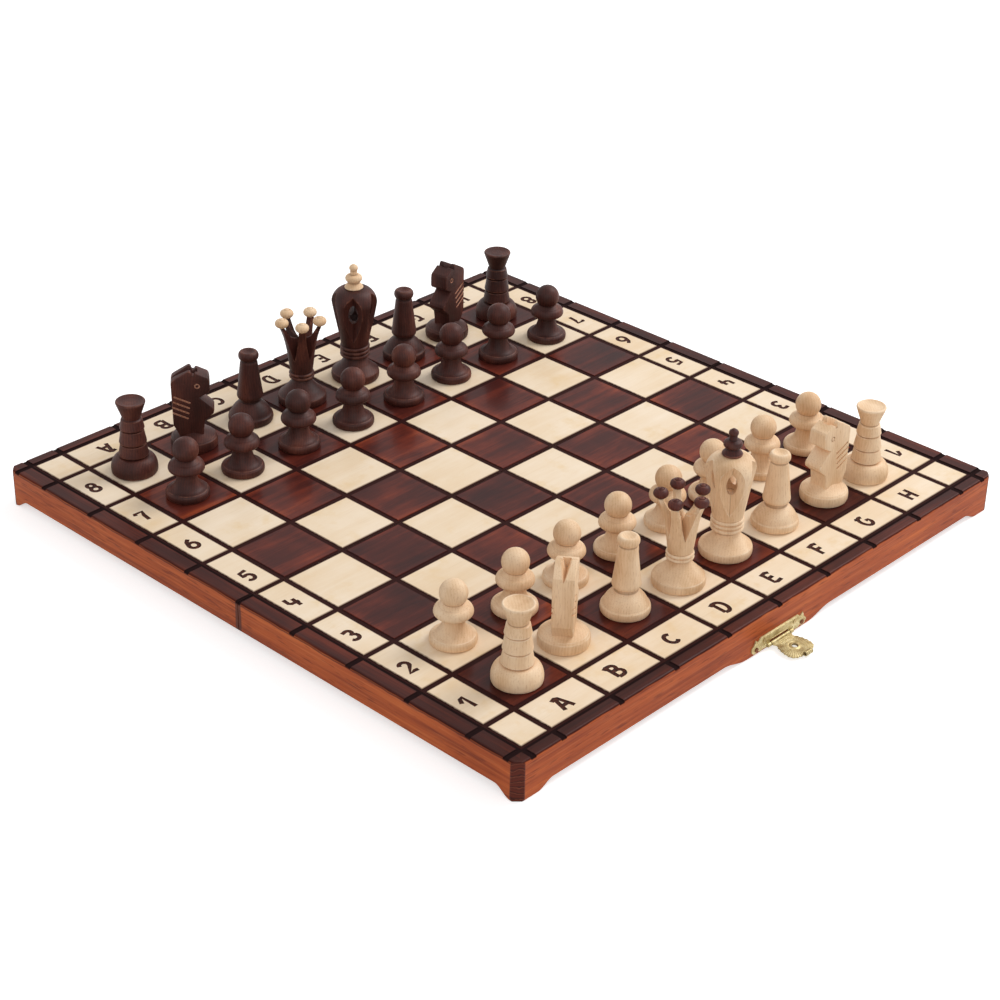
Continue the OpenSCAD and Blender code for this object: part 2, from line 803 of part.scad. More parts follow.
// the dark men, on ranks 8 and 7
color(DARK) stand(0, 7, [-3, 0.5]) rook();  // dark_rook_a
color(DARK) stand(1, 7, [-1, 1], -40) knight();  // dark_knight_b
color(DARK) stand(2, 7, [0.5, 1.5]) bishop();  // dark_bishop_c
color(DARK) stand(3, 7, [-2, -0.5]) queen();  // dark_queen
color(LIGHT) stand(3, 7, [-2, -0.5]) queen_balls();  // dark_queen_balls
color(DARK) stand(4, 7) king();  // dark_king
color(LIGHT) stand(4, 7) king_finial();  // dark_king_finial
color(DARK) stand(5, 7) bishop();  // dark_bishop_f
color(DARK) stand(6, 7, [-1.5, 1.5], 193) knight();  // dark_knight_g
color(DARK) stand(7, 7) rook();  // dark_rook_h
color(DARK) stand(0, 6) pawn();  // dark_pawn_a
color(DARK) stand(1, 6, [-1, 0]) pawn();  // dark_pawn_b
color(DARK) stand(2, 6, [-0.5, -0.5]) pawn();  // dark_pawn_c
color(DARK) stand(3, 6, [-0.5, -1.5]) pawn();  // dark_pawn_d
color(DARK) stand(4, 6, [0.5, -0.5]) pawn();  // dark_pawn_e
color(DARK) stand(5, 6) pawn();  // dark_pawn_f
color(DARK) stand(6, 6, [-0.5, -0.5]) pawn();  // dark_pawn_g
color(DARK) stand(7, 6, [-0.5, -2.5]) pawn();  // dark_pawn_h
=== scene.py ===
import math
import bmesh
import bpy
from mathutils import Matrix, Vector


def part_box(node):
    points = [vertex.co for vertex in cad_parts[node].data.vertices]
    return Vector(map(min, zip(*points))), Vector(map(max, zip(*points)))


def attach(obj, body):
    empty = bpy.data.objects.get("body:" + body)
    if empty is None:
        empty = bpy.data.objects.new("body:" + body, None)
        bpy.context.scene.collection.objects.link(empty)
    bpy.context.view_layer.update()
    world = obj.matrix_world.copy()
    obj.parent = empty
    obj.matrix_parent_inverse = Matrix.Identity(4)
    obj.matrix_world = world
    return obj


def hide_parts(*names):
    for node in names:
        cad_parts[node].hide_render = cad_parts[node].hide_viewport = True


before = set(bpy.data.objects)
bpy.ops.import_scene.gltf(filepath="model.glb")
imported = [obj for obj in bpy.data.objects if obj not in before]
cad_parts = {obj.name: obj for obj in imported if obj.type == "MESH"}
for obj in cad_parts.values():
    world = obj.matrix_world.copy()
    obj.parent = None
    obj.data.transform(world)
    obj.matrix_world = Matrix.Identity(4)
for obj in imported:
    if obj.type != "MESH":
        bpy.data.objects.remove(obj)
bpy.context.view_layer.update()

# ---------- Where the photograph was taken from ----------
# The camera was fitted to the corners of the playing grid. Its distance, and how far it stands
# aside and below, are in squares from the middle of the fold on the playing face.

SQUARE = 0.0325
SENSOR, FRAME, FOCAL_PIXELS = 36, 1000, 2292.47
AWAY, ASIDE, BELOW = 31.4649, 0.0432, 0.4099
pin_low, pin_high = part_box("hinge_pins")
FOLD = Vector((0, (pin_low.y + pin_high.y) / 2, (pin_low.z + pin_high.z) / 2))
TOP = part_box("front_panel")[1].z
azimuth, elevation, roll = (math.radians(a) for a in (-46.7113, 29.978, 1.0784))
back = Vector((math.sin(azimuth) * math.cos(elevation), -math.cos(azimuth) * math.cos(elevation),
               math.sin(elevation)))
right = Vector((0, 0, 1)).cross(back).normalized()
up = back.cross(right)
right, up = right * math.cos(roll) + up * math.sin(roll), up * math.cos(roll) - right * math.sin(roll)
stand = (back * AWAY - right * ASIDE - up * BELOW) * SQUARE + Vector((0, FOLD.y, TOP))
lens = bpy.data.cameras.new("camera")
lens.sensor_width = SENSOR
lens.lens = SENSOR * FOCAL_PIXELS / FRAME
lens.clip_start, lens.clip_end = 0.01, 20
camera = bpy.data.objects.new("camera", lens)
bpy.context.scene.collection.objects.link(camera)
camera.matrix_world = Matrix.Translation(stand) @ Matrix((right, up, back)).transposed().to_4x4()
bpy.context.scene.camera = camera
bpy.context.scene.view_settings.view_transform = "Standard"

# ---------- The white table and the soft light over it ----------
# A plain pale sheet that fades to white for the lens, a wide lamp high on the right behind the
# board and a weaker one on the left in front of it, in an evenly lit white room.


def srgb(red, green, blue):
    """A colour read off in 0..255, as the shader wants it."""
    return tuple((c / 12.92 if c <= 0.04045 else ((c + 0.055) / 1.055) ** 2.4)
                 for c in (v / 255 for v in (red, green, blue))) + (1,)


class Tone:
    """One output of a shader node; a sum on it adds a Math node to the same material."""

    def __init__(self, tree, socket):
        self.tree, self.socket = tree, socket

    def node(self, kind, values=(), out=0, stops=(), **settings):
        """Any node, by its settings, a ramp's stops as (place, colour), and values or links."""
        made = self.tree.nodes.new("ShaderNode" + kind)
        for name, value in settings.items():
            setattr(made, name, value)
        if stops:
            ramp = made.color_ramp
            ramp.elements[0].position, ramp.elements[1].position = stops[0][0], stops[-1][0]
            for place, _ in stops[1:-1]:
                ramp.elements.new(place)
            for element, (_, colour) in zip(ramp.elements, stops):
                element.color = colour
        for name, value in dict(values).items():
            if isinstance(value, Tone):
                self.tree.links.new(value.socket, made.inputs[name])
            else:
                made.inputs[name].default_value = value
        return Tone(self.tree, made.outputs[out])

    def sum(self, operation, *others):
        return self.node("Math", enumerate((self, *others)), operation=operation)

    def __add__(self, other):
        return self.sum("ADD", other)

    def __sub__(self, other):
        return self.sum("SUBTRACT", other)

    def __rsub__(self, other):
        return self.node("Math", {0: other, 1: self}, operation="SUBTRACT")

    def __mul__(self, other):
        return self.sum("MULTIPLY", other)

    def __truediv__(self, other):
        return self.sum("DIVIDE", other)

    __radd__, __rmul__ = __add__, __mul__

    def least(self, other):
        return self.sum("MINIMUM", other)

    def most(self, other):
        return self.sum("MAXIMUM", other)

    def below(self, limit):
        return self.sum("LESS_THAN", limit)

    def size(self):
        return self.sum("ABSOLUTE")

    def fraction(self):
        return self.sum("FRACT")

    def ease(self, start, end):
        """0 up to start and 1 from end on, with a soft step between; start may be above end."""
        low, high, at_low, at_high = (start, end, 0, 1) if start < end else (end, start, 1, 0)
        return self.node("MapRange", {0: self, 1: low, 2: high, 3: at_low, 4: at_high},
                         interpolation_type="SMOOTHSTEP")

    def parts(self):
        return [self.node("SeparateXYZ", {0: self}, out=i) for i in range(3)]

    def placed(self, move=(0, 0, 0), turn=(0, 0, 0), scale=(1, 1, 1)):
        return self.node("Mapping", {0: self, 1: move, 2: turn, 3: scale})

    def grain(self, scale, detail=3, roughness=0.5, distortion=0):
        return self.node("TexNoise", {"Vector": self, "Scale": scale, "Detail": detail,
                                      "Roughness": roughness, "Distortion": distortion})

    def ramp(self, *stops):
        return self.node("ValToRGB", {0: self}, stops=stops)

    def tint(self, under, over):
        """The colour under, covered by the colour over as far as this mask says."""
        return self.node("Mix", {0: self, 6: under, 7: over}, out=2, data_type="RGBA")


def finish(name, **constants):
    """Starts a material: gives the point on the piece, and a function that sets its colour,
    roughness, height and lacquer. Constants go on the shader's own sockets."""
    material = bpy.data.materials.new(name)
    material.use_nodes = True
    tree = material.node_tree
    shader = tree.nodes["Principled BSDF"]
    for socket, value in constants.items():
        shader.inputs[socket.replace("_", " ")].default_value = value
    point = Tone(tree, tree.nodes.new("ShaderNodeTexCoord").outputs["Object"])

    def coat(colour, rough=None, height=None, depth=0.0001, lacquer=None):
        tree.links.new(colour.socket, shader.inputs["Base Color"])
        if rough is not None:
            tree.links.new(rough.socket, shader.inputs["Roughness"])
        if lacquer is not None:
            tree.links.new(lacquer.socket, shader.inputs["Coat Weight"])
        if height is not None:
            bump = height.node("Bump", {"Height": height, "Distance": depth, "Strength": 1.0})
            tree.links.new(bump.socket, shader.inputs["Normal"])
        return material

    return point, coat


def new_piece(name, shape, *materials, crisp=38):
    """Makes an object of a bmesh, shaded smooth except over edges sharper than crisp degrees."""
    mesh = bpy.data.meshes.new(name)
    shape.to_mesh(mesh)
    shape.free()
    mesh.shade_smooth()
    mesh.set_sharp_from_angle(angle=math.radians(crisp))
    for material in materials:
        mesh.materials.append(material)
    piece = bpy.data.objects.new(name, mesh)
    bpy.context.scene.collection.objects.link(piece)
    return piece


def shown(tree):
    """1 for the lens's own rays and those that mirror or pass through, 0 for light on the object."""
    rays = Tone(tree, None)
    straight = rays.node("LightPath", out="Is Camera Ray").most(rays.node("LightPath", out="Is Glossy Ray"))
    return straight.most(rays.node("LightPath", out="Is Transmission Ray"))


TABLE_REACH = 4
PAPER, WHITE = (0.8, 0.8, 0.8, 1), (1, 1, 1, 1)
PAPER_GLOW, ROOM_LIGHT = 0.6, 0.56
table = bmesh.new()
bmesh.ops.create_grid(table, x_segments=1, y_segments=1, size=TABLE_REACH)
paper = bpy.data.materials.new("white_table")
paper.use_nodes = True
paper.node_tree.nodes.clear()
seen = shown(paper.node_tree)
matt = seen.node("BsdfDiffuse", {"Color": PAPER})
lifted = seen.node("AddShader", {0: matt, 1: seen.node("Emission", {"Color": WHITE, "Strength": PAPER_GLOW})})
paper_out = paper.node_tree.nodes.new("ShaderNodeOutputMaterial")
paper.node_tree.links.new(seen.node("MixShader", {0: seen, 1: matt, 2: lifted}).socket, paper_out.inputs[0])
floor = new_piece("floor", table, paper)

room = bpy.data.worlds.new("white_room")
bpy.context.scene.world = room
room.use_nodes = True
backdrop = room.node_tree.nodes["Background"].inputs
room.node_tree.links.new((shown(room.node_tree) * (1 - ROOM_LIGHT) + ROOM_LIGHT).socket, backdrop["Strength"])
backdrop["Color"].default_value = WHITE

for name, place, side, watts in (("high_lamp", (1.1, -0.3, 1.2), 0.8, 15.5),
                                 ("front_lamp", (-0.9, -1.1, 0.8), 1.0, 2.6)):
    glow = bpy.data.lights.new(name, "AREA")
    glow.size, glow.energy = side, watts
    lamp = bpy.data.objects.new(name, glow)
    bpy.context.scene.collection.objects.link(lamp)
    lamp.matrix_world = Matrix.Translation(place) @ Vector(place).to_track_quat("Z", "Y").to_matrix().to_4x4()

# ---------- Playing panels ----------
# A lacquered plywood panel for each half, laid in the rebate of its walls. The dark squares are
# stained, the lines between the squares are scorched in with a hot iron, and so are the labels.

LINE, LINE_DEPTH, LINE_FLANK = 0.0028, 0.0004, 0.0003
LINE_EDGES = (-LINE / 2, -LINE / 2 + LINE_FLANK, LINE / 2 - LINE_FLANK, LINE / 2)
LINE_FLOOR = LINE / 2 - LINE_FLANK + 0.00005
STRIP_X, STRIP_Y = 0.1465, 0.1495
SCORCH = srgb(46, 19, 17)


def line_distance(x, y):
    """How far a point of the top is from the nearest scorched line."""
    near = [((u / SQUARE + 0.5).fraction() - 0.5).size() * SQUARE for u in (x, y)]
    return near[0].least(near[1]).least((x.size() - STRIP_X).size()).least((y.size() - STRIP_Y).size())


point, coat = finish("playing_face", Coat_Roughness=0.16, Coat_IOR=1.45, Specular_IOR_Level=0.05)
point = point.placed(move=(0, -FOLD.y, 0))
x, y, z = point.parts()
edge = line_distance(x + (point.grain(700, 2) - 0.5) * 0.0004, y)
field = x.size().below(4 * SQUARE) * y.size().below(4 * SQUARE)
odd = ((x / SQUARE).sum("FLOOR") + (y / SQUARE).sum("FLOOR")).sum("FLOORED_MODULO", 2)
stained = field * (1 - odd)
streak = point.placed(scale=(14, 150, 14)).grain(1, 6, 0.62, 0.4)
fibre = point.placed(scale=(60, 1500, 60)).grain(1, 3, 0.6)
cloud = point.grain(34, 3, 0.5)
cream = (streak * 0.5 + cloud * 0.5).ramp(
    (0.3, srgb(235, 207, 170)), (0.5, srgb(243, 221, 192)), (0.7, srgb(249, 231, 208)))
cream = (fibre.ease(0.58, 0.75) * 0.25).tint(cream, srgb(214, 186, 146))
blotch = point.grain(85, 4, 0.6)
cream = (blotch.ease(0.52, 0.74) * 0.5).tint(cream, srgb(234, 202, 152))
whole = point.node("VectorMath", {0: point.placed(scale=(1 / SQUARE,) * 3)}, operation="FLOOR")
lot = whole.node("TexWhiteNoise", {"Vector": whole}, out="Value")
red = streak * 0.8 + cloud * 0.6 + edge.ease(0.006, 0.0015) * 0.08 + lot * 0.14 - 0.27
stain = red.ramp(
    (0.3, srgb(54, 23, 21)), (0.48, srgb(76, 31, 25)), (0.62, srgb(104, 43, 31)), (0.85, srgb(152, 70, 42)))
stain = (fibre.ease(0.55, 0.7) * 0.5).tint(stain, srgb(48, 24, 26))
top = stained.tint(cream, stain)
top = (edge.ease(0.0020, 0.0012) * (1 - stained) * 0.6).tint(top, srgb(110, 64, 44))
top = edge.ease(0.00142, 0.00112).tint(top, SCORCH)
under_face = z.ease(TOP - 0.0006, TOP - 0.0009)
playing_face = coat(under_face.tint(top, cream), rough=edge.ease(0.0016, 0.0012) * 0.3 + streak * 0.15 + 0.3,
                    height=fibre * 0.4 + streak, depth=0.00004,
                    lacquer=edge.ease(0.0013, 0.0017) * 0.18 + 0.04)

point, coat = finish("burnt_letter", Specular_IOR_Level=0.1)
char = point.grain(900, 3)
burnt = coat(char.ramp((0.35, srgb(38, 20, 20)), (0.65, srgb(84, 44, 32))),
             rough=char * 0.3 + 0.4, height=char, depth=0.00005)


def arc(middle, reach, start, end, steps=9):
    """Points on an ellipse, angles in degrees."""
    turn = [math.radians(start + (end - start) * i / steps) for i in range(steps + 1)]
    return [(middle[0] + reach[0] * math.cos(a), middle[1] + reach[1] * math.sin(a)) for a in turn]


# The strokes of each label, upright on a body that is one high and one wide.
GLYPHS = {
    "A": [[(-0.34, 0.4), (-0.06, 0.5), (0.08, 0.42), (0.32, -0.5)], [(-0.06, 0.46), (-0.32, -0.5)],
          [(-0.22, -0.16), (0.22, -0.16)]],
    "B": [[(-0.24, -0.46), (-0.22, 0.44)],
          [(-0.42, 0.4), (-0.2, 0.5)] + arc((0.0, 0.27), (0.22, 0.21), 90, -80) + [(-0.2, 0.04)],
          [(-0.2, 0.04)] + arc((0.04, -0.21), (0.27, 0.25), 90, -90) + [(-0.24, -0.46)]],
    "C": [arc((0.0, -0.06), (0.3, 0.4), 52, 318, 14)],
    "D": [[(-0.24, -0.44), (-0.22, 0.42)],
          [(-0.44, 0.4), (-0.2, 0.5)] + arc((-0.04, 0), (0.32, 0.48), 85, -90, 12) + [(-0.24, -0.44)]],
    "E": [[(0.24, 0.4), (0.02, 0.5), (-0.38, 0.42)], [(-0.24, 0.44), (-0.26, -0.4), (-0.1, -0.48), (0.3, -0.42)],
          [(-0.22, 0.02), (0.14, 0.04)]],
    "F": [[(0.26, 0.42), (0.02, 0.5), (-0.4, 0.42)], [(-0.22, 0.44), (-0.24, -0.5)], [(-0.2, 0.02), (0.16, 0.02)]],
    "G": [[(-0.34, 0.44), (-0.2, 0.3)],
          arc((0.02, -0.04), (0.31, 0.46), 62, 335, 14) + [(0.28, -0.02), (0.06, -0.02)]],
    "H": [[(-0.25, -0.5), (-0.25, 0.5)], [(0.25, -0.5), (0.25, 0.5)], [(-0.22, 0), (0.22, 0)]],
    "1": [[(-0.3, 0.08), (-0.12, 0.4), (0.06, 0.46), (0.08, -0.5)]],
    "2": [arc((0, 0.22), (0.26, 0.26), 165, -30, 10) + [(-0.24, -0.46), (0.1, -0.42), (0.3, -0.46)]],
    "3": [[(-0.28, 0.4)] + arc((0, 0.26), (0.2, 0.2), 120, -80, 8) + arc((0, -0.2), (0.27, 0.26), 80, -150, 9)],
    "4": [[(-0.26, 0.44), (-0.28, 0.0), (-0.16, -0.12), (0.32, -0.14)], [(0.14, 0.24), (0.14, -0.5)]],
    "5": [[(0.26, 0.5), (-0.2, 0.42), (-0.24, 0.06)] + arc((0, -0.18), (0.26, 0.29), 125, -145, 11)],
    "6": [[(0.12, 0.5), (-0.12, 0.28)] + arc((0, -0.18), (0.27, 0.29), 150, 510, 16)],
    "7": [[(-0.28, 0.28), (-0.22, 0.46), (0.24, 0.44), (0.1, 0.06), (0.04, -0.48)]],
    "8": [arc((0, 0.24), (0.21, 0.23), -90, 270, 12), arc((0, -0.22), (0.26, 0.26), 90, 450, 14)],
}
LABEL, STROKE, GROOVE_FLAT = 0.0080, 0.0020, 0.4
FRONT_ROW, BACK_ROW, LEFT_COLUMN, RIGHT_COLUMN = -0.1404, 0.1394, -0.1392, 0.1386
DIGIT_DRIFT = (-0.001, -0.0008, -0.0016, 0.0006, -0.004, -0.0008, -0.001, 0.0012)
middles = [(i - 3.5) * SQUARE for i in range(8)]
labels = []     # what it says, where its middle is, and 1 upright or -1 turned round
for letter, middle in zip("ABCDEFGH", middles):
    labels += [(letter, middle - (0.0004 if letter == "A" else 0.0024), FRONT_ROW, 1),
               (letter, middle + 0.0006, BACK_ROW, -1)]
for digit, middle, drift in zip("12345678", middles, DIGIT_DRIFT):
    labels += [(digit, LEFT_COLUMN, middle + drift, 1), (digit, RIGHT_COLUMN, middle + 0.0008, -1)]


def moved(shape, place):
    bmesh.ops.translate(shape, vec=place, verts=shape.verts)
    return shape


def scaled(shape, share):
    bmesh.ops.scale(shape, vec=share, verts=shape.verts)
    return shape


def iron(half):
    """What the hot iron takes out of one half: a shallow round-bottomed groove for every stroke."""
    marks = bpy.data.curves.new("iron", "CURVE")
    marks.dimensions = "3D"
    marks.bevel_depth, marks.bevel_resolution, marks.use_fill_caps = STROKE / 2, 3, True
    for label, x, y, flip in labels:
        if y * half > 0:
            continue
        for stroke in GLYPHS[label]:
            line = marks.splines.new("POLY")
            line.points.add(len(stroke) - 1)
            for spot, (u, v) in zip(line.points, stroke):
                spot.co = (x + flip * u * LABEL, y + flip * v * LABEL, 0, 1)
    holder = bpy.data.objects.new("iron", marks)
    shape = bmesh.new()
    shape.from_mesh(holder.to_mesh())
    bpy.data.objects.remove(holder)
    return moved(scaled(shape, (1, 1, GROOVE_FLAT)), (0, FOLD.y, TOP + 0.00005))


def sliced(shape, place, across, clear=False):
    """Cuts a shape along a plane; clear takes off what lies beyond it and closes the cut."""
    cut = bmesh.ops.bisect_plane(shape, geom=shape.verts[:] + shape.edges[:] + shape.faces[:], plane_co=place,
                                 plane_no=across, clear_outer=clear)["geom_cut"]
    if clear:
        bmesh.ops.holes_fill(shape, edges=[e for e in cut if isinstance(e, bmesh.types.BMEdge)], sides=0)


for half, name in ((1, "front_panel"), (-1, "back_panel")):
    low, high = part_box(name)
    panel = bmesh.new()
    bmesh.ops.create_cube(panel, size=1)
    moved(scaled(panel, high - low), (low + high) / 2)
    lines_x = [k * SQUARE for k in range(-4, 5)] + [-STRIP_X, STRIP_X]
    lines_y = [FOLD.y - half * k * SQUARE for k in range(5)] + [FOLD.y - half * STRIP_Y]
    for axis, lines in ((0, lines_x), (1, lines_y)):
        for line in lines:
            for step in LINE_EDGES:
                cut, across = Vector(), Vector()
                cut[axis], across[axis] = line + step, 1
                sliced(panel, cut, across)
    sunk = [v for v in panel.verts if v.co.z > TOP - 1e-5
            and (min(abs(v.co.x - k) for k in lines_x) < LINE_FLOOR
                 or min(abs(v.co.y - k) for k in lines_y) < LINE_FLOOR)]
    bmesh.ops.translate(panel, vec=(0, 0, -LINE_DEPTH), verts=sunk)
    piece = new_piece("playing_" + name, panel, playing_face)
    marks = new_piece("iron_marks", iron(half), burnt)
    press = piece.modifiers.new("labels", "BOOLEAN")
    press.operation, press.object, press.solver, press.use_self = "DIFFERENCE", marks, "EXACT", True
    press.material_mode = "TRANSFER"
    bpy.context.view_layer.update()
    pressed = bpy.data.meshes.new_from_object(piece.evaluated_get(bpy.context.evaluated_depsgraph_get()))
    piece.modifiers.clear()
    pressed.set_sharp_from_angle(angle=math.radians(20))
    piece.data = pressed
    bpy.data.objects.remove(marks)
    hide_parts(name)
    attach(piece, name.replace("panel", "half"))

# ---------- Outer walls ----------
# Beech stained orange-brown, with a dark stained and lacquered rim that runs down over the rounded
# edge and the cut corners. The lower edge is sawn up in S-curves between the feet.

HALF_W, HALF_D = 0.155, 0.156
SIDE_RIM, END_RIM, LEDGE = 0.0085, 0.0065, 0.0025
PANEL_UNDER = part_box("front_panel")[0].z
CORNER_CUT, ROUND, SOFT = 0.0035, 0.0011, 0.0004


def wall_finish(name, along):
    """Stained wall wood with its grain along one axis."""
    point, coat = finish(name, Coat_Roughness=0.2, Specular_IOR_Level=0.1)
    point = point.placed(move=(0, -FOLD.y, 0))
    x, y, z = point.parts()
    stretch = (11, 300, 420) if along == "x" else (300, 11, 420)
    band = point.placed(scale=stretch).grain(1, 5, 0.62, 0.25)
    fine = point.placed(scale=tuple(s * 3.2 for s in stretch)).grain(1, 3, 0.6)
    pores = point.placed(scale=tuple(s * 1.9 if s > 100 else s * 9 for s in stretch)).grain(1, 2, 0.5)
    patch = point.grain(26, 2)
    wood = (band * 0.8 + patch * 0.35 - 0.08).ramp(
        (0.25, srgb(124, 50, 24)), (0.42, srgb(164, 75, 37)), (0.55, srgb(186, 91, 46)), (0.75, srgb(214, 118, 62)))
    wood = (pores.ease(0.56, 0.7) * 0.55).tint(wood, srgb(104, 40, 24))
    wood = (fine.ease(0.5, 0.7) * 0.3).tint(wood, srgb(214, 128, 76))
    far = y.size() - (HALF_D + HALF_W) + x.size()
    wander = (point.grain(90, 3) - 0.5) * 0.0016
    cut = (far + wander * 0.3).ease(-CORNER_CUT - 0.0007, -CORNER_CUT - 0.0002)
    split = (y.size() + wander * 0.6).ease(0.0021, 0.0014)
    edge = line_distance(x, y)
    scorched = edge.ease(0.0016, 0.0012)
    rim = (z + wander * 0.5 + scorched * LINE_DEPTH).ease(TOP - 0.0009, TOP - 0.0004)
    ends = (z * 380 + point.grain(240, 2) * 1.2).fraction().ramp(
        (0.0, srgb(58, 24, 18)), (0.4, srgb(98, 40, 26)), (0.8, srgb(82, 34, 23)), (0.93, srgb(118, 60, 42)))
    seal = (band * 0.7 + patch * 0.5 - 0.1).ramp(
        (0.3, srgb(42, 17, 15)), (0.5, srgb(66, 27, 21)), (0.72, srgb(104, 45, 31)))
    seal = scorched.tint(seal, srgb(30, 14, 14))
    wood = (split * 0.85).tint(wood, srgb(84, 46, 36))
    wood = cut.tint(wood, ends)
    wood = rim.tint(wood, seal)
    inside = x.size().below(STRIP_X - LEDGE + 0.0002) * y.size().below(STRIP_Y - LEDGE + 0.0002)
    bare = (band * 0.5 + fine * 0.5).ramp((0.35, srgb(206, 170, 122)), (0.65, srgb(226, 196, 152)))
    wood = inside.tint(wood, bare)
    if along == "y":
        level = z + wander
        shadow_line = level.ease(TOP - 0.0017, TOP - 0.0012) * level.ease(TOP - 0.0006, TOP - 0.0010)
        wood = (shadow_line * (1 - cut) * 0.7).tint(wood, srgb(46, 22, 20))
    arris = z.ease(TOP - 0.00005, TOP - 0.0003) * rim
    return coat(wood, rough=band * 0.2 + 0.34 + scorched * rim * 0.2 + arris * 0.4,
                height=band * 0.7 + fine * 0.3, depth=0.00008,
                lacquer=(rim * 0.02 + 0.04) * (1 - scorched * rim * 0.9) * (1 - arris))


wall_along_x = wall_finish("stained_wall_x", "x")
wall_along_y = wall_finish("stained_wall_y", "y")


def s_rise(s, start, end, height):
    """Height of an S-curve that climbs from 0 at start to height at end."""
    share = min(max((s - start) / (end - start), 0), 1)
    return height * (1 - math.cos(math.pi * share)) / 2


def drawn_out(outline, reach):
    """A bar: a flat outline, drawn out by reach."""
    bar = bmesh.new()
    face = bar.faces.new([bar.verts.new(spot) for spot in outline])
    far = bmesh.ops.extrude_face_region(bar, geom=[face])["geom"]
    bmesh.ops.translate(bar, vec=reach, verts=[v for v in far if isinstance(v, bmesh.types.BMVert)])
    return bar


def wall_bar(rim, start, end, stops, rise, notches):
    """A wall lying along +X from start to end, outer face on y = 0 and its inside towards +Y: the
    section is drawn out along the wall and sliced, then the lower edge is lifted as rise(x) says
    and the scorched notches are pressed into the rim."""
    section = [(SOFT, 0), (0, SOFT), (0, TOP - ROUND - SOFT)]
    section += arc((ROUND, TOP - ROUND), (ROUND, ROUND), 180, 90, 4)
    section += [(ROUND + SOFT, TOP), (rim - LINE / 2 - LINE_FLANK, TOP), (rim - LINE / 2, TOP),
                (rim - LINE / 2 + LINE_FLANK, TOP - LINE_DEPTH), (rim, TOP - LINE_DEPTH), (rim, PANEL_UNDER),
                (rim + LEDGE, PANEL_UNDER), (rim + LEDGE, SOFT), (rim + LEDGE - SOFT, 0)]
    bar = drawn_out([(start, d, z) for d, z in section], (end - start, 0, 0))
    for stop in sorted(set(stops + [notch + step for notch in notches for step in LINE_EDGES])):
        if start + 1e-5 < stop < end - 1e-5:
            sliced(bar, (stop, 0, 0), (1, 0, 0))
    for v in bar.verts:
        if v.co.z < 0.001:
            v.co.z += rise(v.co.x)
        elif v.co.z > TOP - ROUND * 1.01 and v.co.y < rim - LINE / 2 + 1e-5:
            if any(abs(v.co.x - notch) < LINE_FLOOR for notch in notches):
                v.co.z -= LINE_DEPTH * min(1, (v.co.z - TOP + ROUND) / ROUND * 1.5)
    return bar


SIDE_FOOT, END_FOOT, CURVE = 0.012, 0.011, 0.0085
SIDE_RISE, END_RISE, FOLD_GAP = 0.004, 0.003, 0.0002
TONGUE, TONGUE_CURVE = 0.020, 0.015
curve_steps = [i / 10 for i in range(11)]
side_stops = [HALF_D - SIDE_FOOT + CURVE * s for s in curve_steps]
end_stops = [side * (TONGUE + TONGUE_CURVE * s) for s in curve_steps for side in (-1, 1)]
end_stops += [side * (HALF_W - END_FOOT - CURVE * s) for s in curve_steps for side in (-1, 1)]


def end_rise(s):
    """Up beside the tongue, and down again to the corner's foot."""
    s, foot_at = abs(s), HALF_W - END_FOOT
    return s_rise(s, TONGUE, TONGUE + TONGUE_CURVE, END_RISE) - s_rise(s, foot_at - CURVE, foot_at, END_RISE)


def side_rise(s):
    """Up from the fold on, and down to the corner's foot."""
    return SIDE_RISE - s_rise(s, HALF_D - SIDE_FOOT, HALF_D - SIDE_FOOT + CURVE, SIDE_RISE)


for half, side in ((1, "front"), (-1, "back")):
    bar = wall_bar(END_RIM, -HALF_W, HALF_W, end_stops, end_rise,
                   [k * SQUARE for k in range(-4, 5)] + [-STRIP_X, STRIP_X])
    for hand in (-1, 1):
        sliced(bar, (hand * HALF_W, 0, 0), (hand * END_RIM, SIDE_RIM, 0), clear=True)
        sliced(bar, (hand * HALF_W, CORNER_CUT, 0), (hand, -1, 0), clear=True)
    moved(scaled(moved(bar, (0, -HALF_D, 0)), (1, half, 1)), (0, FOLD.y, 0))
    bmesh.ops.recalc_face_normals(bar, faces=bar.faces)
    piece = new_piece("end_wall_" + side, bar, wall_along_x, crisp=28)
    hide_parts(side + "_wall")
    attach(piece, side + "_half")
    for hand, where in ((-1, "left"), (1, "right")):
        bar = wall_bar(SIDE_RIM, FOLD_GAP, HALF_D, side_stops, side_rise,
                       [k * SQUARE for k in range(5)] + [STRIP_Y])
        sliced(bar, (HALF_D, 0, 0), (SIDE_RIM, END_RIM, 0), clear=True)
        sliced(bar, (HALF_D, CORNER_CUT, 0), (1, -1, 0), clear=True)
        laid = Matrix(((0, -hand, 0, hand * HALF_W), (-half, 0, 0, FOLD.y), (0, 0, 1, 0), (0, 0, 0, 1)))
        bmesh.ops.transform(bar, matrix=laid, verts=bar.verts)
        bmesh.ops.recalc_face_normals(bar, faces=bar.faces)
        piece = new_piece(f"side_wall_{side}_{where}", bar, wall_along_y, crisp=28)
        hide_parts(f"{side}_{where}_wall")
        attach(piece, side + "_half")

# ---------- Walls along the fold and laths inside ----------
# Plain beech, sawn and glued between the side walls: one wall on each side of the fold, which
# carries the hinges, and one lath that parts the inside of each half. Their nodes stay.

